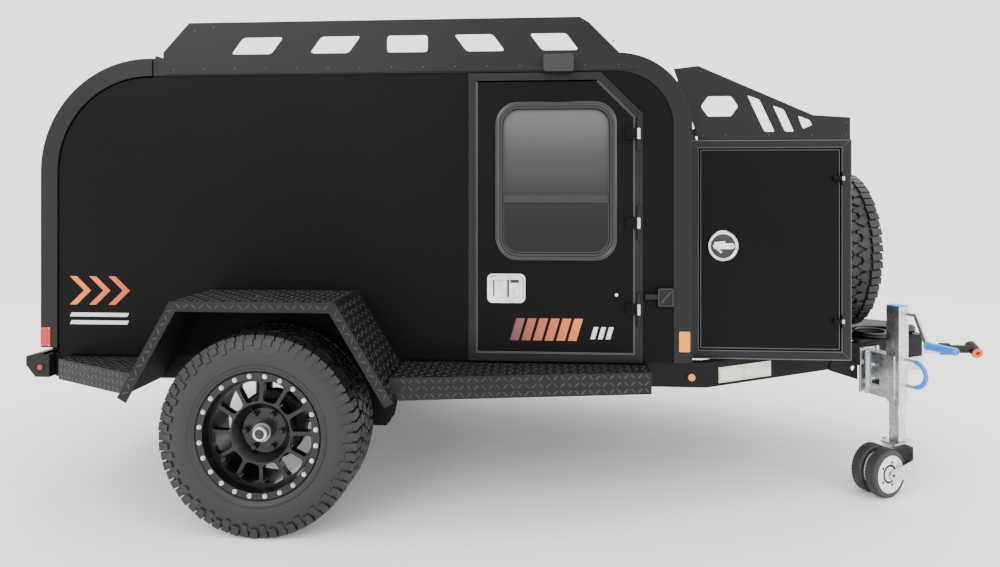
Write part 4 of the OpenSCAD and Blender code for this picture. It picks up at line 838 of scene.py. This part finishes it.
doorLatch = dict(rim=(832, 841, 979, 952), radius=20, section=[(0, 812.5), (1, 815), (5, 815.5), (8, 812.9)],
                 lock=(936, 884), button=(1341, 876), paddleGaps=[(909, 917), (853.5, 857.5)])
boxLatch = dict(x=1779, z=1063, face=719,
                section=[(49, 2), (49, 7), (53, 9.5), (59, 9.5), (62.5, 6), (62.5, 0)])
holdBack = dict(rim=(1502, 832, 1562, 904), section=[(0.5, 825.5), (0.5, 829), (5, 828.6), (5, 825.9)],
                screws=[(1508, 838), (1556, 838), (1508, 898), (1556, 898)])
sideLamps = dict(reflector=((-1049, -1006), (803.8, 806.5), (636, 716)), corner=(-1036, 553, 11),
                 porch=((1062, 1164), (855.5, 858), (1760, 1806)), screwX=(-1043, -1012), screwZ=(641, 711))
for side in (-1, 1):
    hand = sidePlaces(side)
    door, box = "cabin_door_" + hand, "box_door_" + hand
    bm = bmesh.new()
    rimInto(bm, side, doorLatch["rim"], doorLatch["radius"], doorLatch["section"], 0.7)
    sideDisc(bm, side, *doorLatch["lock"], 11, (809, 814.5), 10)
    sideBox(bm, side, (928, 952), (809, 812), (863, 872))
    sideDisc(bm, side, *doorLatch["button"], 9, (822, 826), 6)
    finishPiece("latch_rim_" + hand, bm, door, finishes["chrome"], sharp=35)
    bm = bmesh.new()
    # black strips in the paddle's gaps and in the key slot: painted shade where the gaps and slot fall dark
    for gap in doorLatch["paddleGaps"]:
        sideBox(bm, side, gap, (808.6, 809.8), (863, 930))
    sideBox(bm, side, (934.5, 937.5), (813, 814.9), (878, 890))  # key slot
    sideBox(bm, side, (922, 956), (808.6, 809.6), (918, 930))
    finishPiece("latch_gap_shade_" + hand, bm, door, finishes["black"], merge=False)
    x, z, face = boxLatch["x"], boxLatch["z"], boxLatch["face"]
    bm = bmesh.new()
    spunInto(bm, [(r / 1000, out / 1000) for r, out in boxLatch["section"]],
             alongAxis(cad(x / 1000, side * face / 1000, z / 1000), (0, side, 0)), 64)
    sideDisc(bm, side, x + 30, z, 9.5, (face + 10, face + 13), 9)
    sideLine(bm, side, (x - 40, z + 4), (x - 8, z - 26), 9, (face + 8, face + 12))  # arms of the handle
    sideLine(bm, side, (x - 36, z + 13), (x + 6, z + 17), 7, (face + 10, face + 14))
    finishPiece("box_latch_rim_" + hand, bm, box, finishes["chrome"], sharp=30)
    bm = bmesh.new()
    # black disc at the bottom of the well and a black key slot on the lock: painted shade in the recess
    sideDisc(bm, side, x, z, 49.5, (face + 0.5, face + 3))
    sideBox(bm, side, (x + 28.5, x + 31.5), (face + 12, face + 13.6), (z - 5, z + 5))
    finishPiece("box_latch_well_shade_" + hand, bm, box, finishes["black"], merge=False)
    bm = bmesh.new()
    rimInto(bm, side, holdBack["rim"], 8, holdBack["section"], 0)
    sideLine(bm, side, (1512, 846), (1552, 890), 8, (825.5, 829))
    sideDisc(bm, side, 1522, 850, 7, (825.5, 830), 5)
    for x, z in holdBack["screws"]:
        sideDisc(bm, side, x, z, 3, (828.6, 830), 2.4, 16)
    finishPiece("hold_back_catch_" + hand, bm, "trailer", finishes["lamp"], sharp=30)
    bm = bmesh.new()
    sideBox(bm, side, *sideLamps["reflector"])
    finishPiece("hatch_reflector_" + hand, bm, "rear_hatch", finishes["redLens"], bevel=0.001)
    bm = bmesh.new()
    sideDisc(bm, side, *sideLamps["corner"], (827.5, 834), 5)
    finishPiece("corner_lamp_" + hand, bm, "trailer", finishes["redLens"], sharp=30)
    bm = bmesh.new()
    sideBox(bm, side, *sideLamps["porch"])
    finishPiece("porch_lens_" + hand, bm, "trailer", finishes["clearLens"], bevel=0.001)
    bm = bmesh.new()
    for x in sideLamps["screwX"]:
        for z in sideLamps["screwZ"]:
            sideDisc(bm, side, x, z, 2.2, (806.2, 807.2), 1.8, 12)
    finishPiece("small_screws_" + hand, bm, "rear_hatch", finishes["bolt"], sharp=30)
print("latches and lenses")

# Rivets along the racks and screws on the fenders, as low domes
rivet = dict(radius=0.0042, height=0.002)
rackRivets = [(x, 1787) for x in range(-470, 1400, 130)]
rackRivets += [(-380, 1945), (-300, 1960), (1210, 1962), (1330, 1880)]
noseRivets = [(x, 1512) for x in (1700, 1790, 1960, 2130, 2262)] + [(2262, 1560), (1690, 1770)]
dome = fastenerTemplate(rivet["radius"], rivet["height"], 12)
fenderBolt = fastenerTemplate(0.007, 0.007)
for side in (-1, 1):
    bm = bmesh.new()
    for spots, face in ((rackRivets, 0.808), (noseRivets, 0.720)):
        for x, z in spots:
            stamp(bm, dome, alongAxis(cad(x / 1000, side * (face - 0.0002), z / 1000), (0, side, 0)))
    top = fender["top"][0][1] - 0.0002
    for x in (-0.210, 0.205):
        stamp(bm, dome, alongAxis(cad(x, side * 0.86, top), (0, 0, 1)))
    stamp(bm, fenderBolt, alongAxis(cad(-0.035, side * 0.995, top), (0, 0, 1)))
    finishPiece("rack_rivets_" + sidePlaces(side), bm, "trailer", finishes["rivet"], sharp=30,
                merge=False)

# Jack dressing, placed in the frame of the rail that carries it
jack = dict(along=0.924, top=0.790, face=0.170, crank=0.642, pull=0.510, pullRadius=0.055, pullOut=0.042,
            trail=0.120, reach=0.140, wheel=0.100, wheelGap=0.033, pullSteps=24, pullSwing=78,
            plateBolts=(0.405, 0.560), clampBolts=(0.520, 0.580), couplerBolts=(0.434, 0.480, 0.526))
aFrame = dict(bend=(1.702, -0.785), heading=math.radians(28))
railPlace = Matrix.Translation(cad(*aFrame["bend"], 0)) @ Matrix.Rotation(aFrame["heading"], 4, "Z")
jackPlace = railPlace @ Matrix.Translation((jack["along"], 0, 0))
jackOut = jackPlace.to_3x3() @ Vector((0, -1, 0))
bm = bmesh.new()
boxInto(bm, (-0.030, -jack["face"], jack["top"] - 0.0005), (0.030, 0.060 - jack["face"], jack["top"] + 0.0035),
        jackPlace)
finishPiece("jack_cap", bm, "jack_tube", finishes["blue"], bevel=0.0012)
bm = bmesh.new()
grip = [(0.0138, 0.0), (0.0190, 0.0), (0.0190, 0.004), (0.0160, 0.007), (0.0152, 0.030), (0.0166, 0.060),
        (0.0158, 0.100), (0.0163, 0.118), (0.0135, 0.125), (0.006, 0.1265), (0.006, 0.120), (0.0138, 0.118)]
spunInto(bm, grip, alongAxis(jackPlace @ Vector((0, -jack["face"] - 0.100, jack["crank"])), jackOut), 40)
finishPiece("jack_crank_grip", bm, "jack_tube", finishes["blue"], sharp=40)
bm = bmesh.new()
rings = []
for k in range(jack["pullSteps"] + 1):
    swing = math.radians(jack["pullSwing"] * (2 * k / jack["pullSteps"] - 1))
    radius = 0.0096 if 0 < k < jack["pullSteps"] else 0.0088
    ring = []
    for m in range(16):
        around = 2 * math.pi * m / 16
        reach = jack["pullRadius"] + radius * math.cos(around)
        ring.append(jackPlace @ Vector((radius * math.sin(around), -jack["face"] - jack["pullOut"]
                                        - reach * math.cos(swing), jack["pull"] + reach * math.sin(swing))))
    rings.append(ring)
shellInto(bm, rings)
finishPiece("jack_pull_grip", bm, "jack_tube", finishes["blue"], sharp=50)
bm = bmesh.new()
for x in (-0.045, 0.045):
    for z in jack["clampBolts"]:
        stamp(bm, fastenerTemplate(0.0105, 0.007), alongAxis(jackPlace @ Vector((x, -0.008, z)), jackOut))
for end in (-1, 1):
    for z in jack["couplerBolts"]:
        stamp(bm, fastenerTemplate(0.0125, 0.008), alongAxis(cad(2.891, end * 0.055, z), (0, end, 0)))
finishPiece("frame_bolts", bm, "trailer", finishes["bolt"], sharp=30, merge=False)
bm = bmesh.new()
for z in jack["plateBolts"]:
    for x in (-0.034, 0.034):
        stamp(bm, fastenerTemplate(0.008, 0.006), alongAxis(jackPlace @ Vector((x, -0.0265, z)), jackOut))
finishPiece("jack_bolts", bm, "jack_tube", finishes["bolt"], sharp=30, merge=False)

# Castor wheels: white hubs with small holes drawn as black discs of painted shade, and ribs across the black
# treads
castor = dict(holes=5, holeCircle=0.049, holeRadius=0.0062, ribs=44, ribRadius=0.0985)
castorCentre = jackPlace @ Vector((-jack["trail"], -jack["reach"], jack["wheel"]))
hub = [(0.010, 0.015), (0.010, 0.0245), (0.026, 0.0235), (0.031, 0.0190), (0.067, 0.0190), (0.073, 0.0252),
       (0.0775, 0.0252), (0.0775, 0.015)]
white, holes, ribs = bmesh.new(), bmesh.new(), bmesh.new()
ribMesh = blockTemplate((0.005, 0.0052, 0.040), 0.001)
for end in (-1, 1):
    middle = castorCentre + jackOut * end * jack["wheelGap"]
    for way in (-1, 1):
        face = alongAxis(middle, jackOut * way)
        spunInto(white, hub, face, 48)
        for k in range(castor["holes"]):
            turn = Matrix.Rotation(2 * math.pi * k / castor["holes"], 4, "Z")
            spot = face @ turn @ Vector((castor["holeCircle"], 0, 0.0188))
            # black disc of painted shade where each hole goes through the hub
            discInto(holes, spot, jackOut * way, castor["holeRadius"], 0.0008, 16)
    for k in range(castor["ribs"]):
        turn = Matrix.Rotation(2 * math.pi * k / castor["ribs"], 4, "Z")
        spot = turn @ Matrix.Translation((castor["ribRadius"], 0, 0))
        stamp(ribs, ribMesh, alongAxis(middle, jackOut) @ spot)
finishPiece("castor_hubs", white, "jack_wheels", finishes["castorWhite"], sharp=40)
finishPiece("castor_hub_hole_shade", holes, "jack_wheels", finishes["black"], merge=False)
finishPiece("castor_ribs", ribs, "jack_wheels", finishes["castorRubber"], merge=False,
            sharp=30)

# Blank data plate on the right A-frame rail
dataPlate = dict(start=0.057, end=0.336, low=0.5175, high=0.580, fields=((0.066, 0.186), (0.236, 0.252),
                 (0.256, 0.326)), fieldLow=0.527, fieldHigh=0.571, disc=(0.211, 0.549), discRadius=0.020)
bm = bmesh.new()
boxInto(bm, (dataPlate["start"], -0.0012, dataPlate["low"]), (dataPlate["end"], 0.0005, dataPlate["high"]),
        railPlace)
finishPiece("data_plate", bm, "trailer", finishes["steelPlate"], bevel=0.0004)
bm = bmesh.new()
for start, end in dataPlate["fields"]:
    boxInto(bm, (start, -0.0016, dataPlate["fieldLow"]), (end, -0.0010, dataPlate["fieldHigh"]), railPlace)
discInto(bm, railPlace @ Vector((dataPlate["disc"][0], -0.0010, dataPlate["disc"][1])), jackOut,
         dataPlate["discRadius"], 0.0006)
finishPiece("data_plate_fields", bm, "trailer", finishes["paleField"], merge=False)
print("jack, coupler and data plate")

# Plain slanted stripes on the doors and plain chevrons on the rear panels
stripes = dict(start=920, end=1223, low=689, high=777, count=6, gap=12, slant=26, marks=(1240, 1270, 1300))
chevrons = dict(start=-924, low=812, high=930, count=3, pitch=84, point=62, thick=30,
                lines=((762, 778), (730, 746)))
vinyl = dict(door=(805.8, 806.4), panel=(799.8, 800.4))  # a hair proud of the sheet below


def slabInto(bm, side, corners, y):
    low, high = [sideLoop(side, corners, v) for v in y]
    shellInto(bm, [low, high])


for side in (-1, 1):
    hand = sidePlaces(side)
    bm = bmesh.new()
    wide = (stripes["end"] - stripes["start"] - stripes["slant"]) / stripes["count"]
    low, high, slant = stripes["low"], stripes["high"], stripes["slant"]
    for k in range(stripes["count"]):
        x = stripes["start"] + k * wide
        end = x + wide - stripes["gap"]
        slabInto(bm, side, [(x, low), (end, low), (end + slant, high), (x + slant, high)], vinyl["door"])
    finishPiece("door_stripes_" + hand, bm, "cabin_door_" + hand, finishes["sunset"], sharp=30)
    bm = bmesh.new()
    for x in stripes["marks"]:
        slabInto(bm, side, [(x, 697), (x + 18, 697), (x + 32, 745), (x + 14, 745)], vinyl["door"])
    finishPiece("door_marks_" + hand, bm, "cabin_door_" + hand, finishes["paleField"], sharp=30)
    bm = bmesh.new()
    middle = (chevrons["low"] + chevrons["high"]) / 2
    tall = (chevrons["high"] - chevrons["low"]) / 2
    for k in range(chevrons["count"]):
        x = chevrons["start"] + chevrons["pitch"] * k
        point, thick = x + chevrons["point"], chevrons["thick"]
        for end in (-1, 1):
            slabInto(bm, side, [(point, middle), (point + thick, middle), (x + thick, middle + end * tall),
                                (x, middle + end * tall)], vinyl["panel"])
    finishPiece("panel_chevrons_" + hand, bm, "trailer", finishes["sunrise"], sharp=30)
    bm = bmesh.new()
    for low, high in chevrons["lines"]:
        slabInto(bm, side, [(-924, low), (-676, low), (-668, high), (-916, high)], vinyl["panel"])
    finishPiece("panel_lines_" + hand, bm, "trailer", finishes["paleField"], sharp=30)
print("plain graphics")

# Galley: worktop, drawer fronts with bar pulls, and the hatch handles
galley = dict(face=-0.912, low=0.655, high=0.955, half=0.755, count=4, gap=0.004, thick=0.010, pull=0.140,
              top=((-0.926, -0.764, 0.9655), (-0.513, 0.764, 0.980)))
hatchLatch = dict(y=0.52, z=0.80, half=(0.055, 0.040), radius=0.012, faces=(-1.0498, -1.054))
bm, pulls = bmesh.new(), bmesh.new()
wide = 2 * galley["half"] / galley["count"]
for k in range(galley["count"]):
    y = -galley["half"] + k * wide
    boxInto(bm, cad(galley["face"] - galley["thick"], y + galley["gap"], galley["low"]),
            cad(galley["face"], y + wide - galley["gap"], galley["high"]))
    boxInto(pulls, cad(galley["face"] - 0.030, y + (wide - galley["pull"]) / 2, 0.905),
            cad(galley["face"] - 0.024, y + (wide + galley["pull"]) / 2, 0.917))
    for end in (-0.06, 0.06):
        boxInto(pulls, cad(galley["face"] - 0.026, y + wide / 2 + end - 0.005, 0.906),
                cad(galley["face"] - 0.009, y + wide / 2 + end + 0.005, 0.916))
finishPiece("galley_fronts", bm, "trailer", finishes["wood"], bevel=0.0012)
finishPiece("galley_pulls", pulls, "trailer", finishes["black"], bevel=0.0012, merge=False)
bm = bmesh.new()
boxInto(bm, *[cad(*corner) for corner in galley["top"]])
finishPiece("galley_worktop", bm, "trailer", finishes["trimBlack"], bevel=0.002)
bm = bmesh.new()
wide, tall = hatchLatch["half"]
plate = roundedRect(-wide, -tall, wide, tall, hatchLatch["radius"])
for y in (-hatchLatch["y"], hatchLatch["y"]):
    shellInto(bm, [[cad(depth, y + py, hatchLatch["z"] + pz) for py, pz in plate]
                   for depth in hatchLatch["faces"]])
    boxInto(bm, cad(-1.062, y - 0.038, 0.79), cad(-1.053, y + 0.038, 0.812))
finishPiece("hatch_latches", bm, "rear_hatch", finishes["chrome"], bevel=0.0012)
print("galley")

# Mattress: a foam block blown up a little by the cloth solver, then piped round both edges
bed = dict(cell=0.016, inset=(0.010, 0.010, 0.006), corner=0.016, puff=0.010, pressure=3.0, frames=8,
           piping=0.005, pipingInset=0.008, pipingCorner=0.030)
bedLow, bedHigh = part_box("mattress")
bm = bmesh.new()
inset = Vector(bed["inset"])
boxInto(bm, bedLow + inset, bedHigh - inset)
bmesh.ops.bevel(bm, geom=list(bm.edges), offset=bed["corner"], affect="EDGES", segments=3, profile=0.5,
                material=-1)
pad = finishPiece("mattress_cover", bm, "trailer", finishes["cover"], ["mattress"], sharp=60)
bpy.context.view_layer.objects.active = pad
remesh = pad.modifiers.new("cells", "REMESH")
remesh.mode = "VOXEL"
remesh.voxel_size = bed["cell"]
with bpy.context.temp_override(object=pad, active_object=pad):
    bpy.ops.object.modifier_apply(modifier="cells")
before = [v.co.copy() for v in pad.data.vertices]
cloth = pad.modifiers.new("foam", "CLOTH")
cloth.settings.use_pressure = True
cloth.settings.uniform_pressure_force = bed["pressure"]
cloth.settings.effector_weights.gravity = 0
cloth.point_cache.frame_start = 1
cloth.point_cache.frame_end = bed["frames"]
for frameNumber in range(1, bed["frames"] + 1):
    bpy.context.scene.frame_set(frameNumber)
solved = pad.evaluated_get(bpy.context.evaluated_depsgraph_get()).to_mesh()
after = [v.co.copy() for v in solved.vertices]
pad.modifiers.remove(cloth)
bpy.context.scene.frame_set(1)
for vertex, start, end in zip(pad.data.vertices, before, after):
    move = end - start
    spot = start + move * min(1, bed["puff"] / max(move.length, 1e-9))
    vertex.co = [min(max(spot[i], bedLow[i]), bedHigh[i]) for i in range(3)]
pad.data.polygons.foreach_set("use_smooth", [True] * len(pad.data.polygons))
bm = bmesh.new()
edge = bed["pipingInset"]
outline = roundedRect(bedLow.x + edge, bedLow.y + edge, bedHigh.x - edge, bedHigh.y - edge, bed["pipingCorner"])
bedMiddle = (bedLow + bedHigh) / 2
for z in (bedLow.z + 0.010, bedHigh.z - 0.010):
    rings = []
    for x, y in outline:
        across = Vector((math.copysign(0.7, x - bedMiddle.x), math.copysign(0.7, y - bedMiddle.y), 0))
        rings.append([Vector((x, y, z)) + across * bed["piping"] * math.cos(2 * math.pi * k / 8)
                      + Vector((0, 0, bed["piping"] * math.sin(2 * math.pi * k / 8))) for k in range(8)])
    shellInto(bm, rings, cap=False)
finishPiece("mattress_piping", bm, "trailer", finishes["piping"], sharp=60)
print("mattress")

# Pale floor, even sky and large soft lights
studio = dict(floor="#fbfbfa", floorHalf=30, sky=2.3, lamps=(
    ("keyLight", (-3.5, -5.5, 4.5), (0, 0, 0.8), (4.0, 3.0), 170),
    ("fillLight", (5.0, -4.5, 2.6), (0.8, 0, 0.9), (3.0, 3.0), 90),
    ("topLight", (0, 0.5, 6.5), (0, 0, 0), (7.0, 4.0), 160)))
floorMaterial, tree, surface, place = newMaterial("pale studio floor", Roughness=0.75,
                                                  **{"Base Color": toLinear(studio["floor"])})
bm = bmesh.new()
bmesh.ops.create_grid(bm, size=studio["floorHalf"])
floorMesh = bpy.data.meshes.new("studio_floor")
bm.to_mesh(floorMesh)
bm.free()
floorMesh.materials.append(floorMaterial)
floorPiece = bpy.data.objects.new("studio_floor", floorMesh)
bpy.context.scene.collection.objects.link(floorPiece)
floorPiece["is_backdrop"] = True
world = bpy.data.worlds.new("studio")
world.use_nodes = True
world.node_tree.nodes["Background"].inputs["Color"].default_value = (1, 1, 1, 1)
world.node_tree.nodes["Background"].inputs["Strength"].default_value = studio["sky"]
bpy.context.scene.world = world
for name, spot, target, size, power in studio["lamps"]:
    lamp = bpy.data.lights.new(name, "AREA")
    lamp.shape = "RECTANGLE"
    lamp.size, lamp.size_y = size
    lamp.energy = power
    lampObject = bpy.data.objects.new(name, lamp)
    lampObject.location = spot
    lampObject.rotation_euler = (Vector(target) - Vector(spot)).to_track_quat("-Z", "Y").to_euler()
    bpy.context.scene.collection.objects.link(lampObject)

low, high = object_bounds()
print("finished")
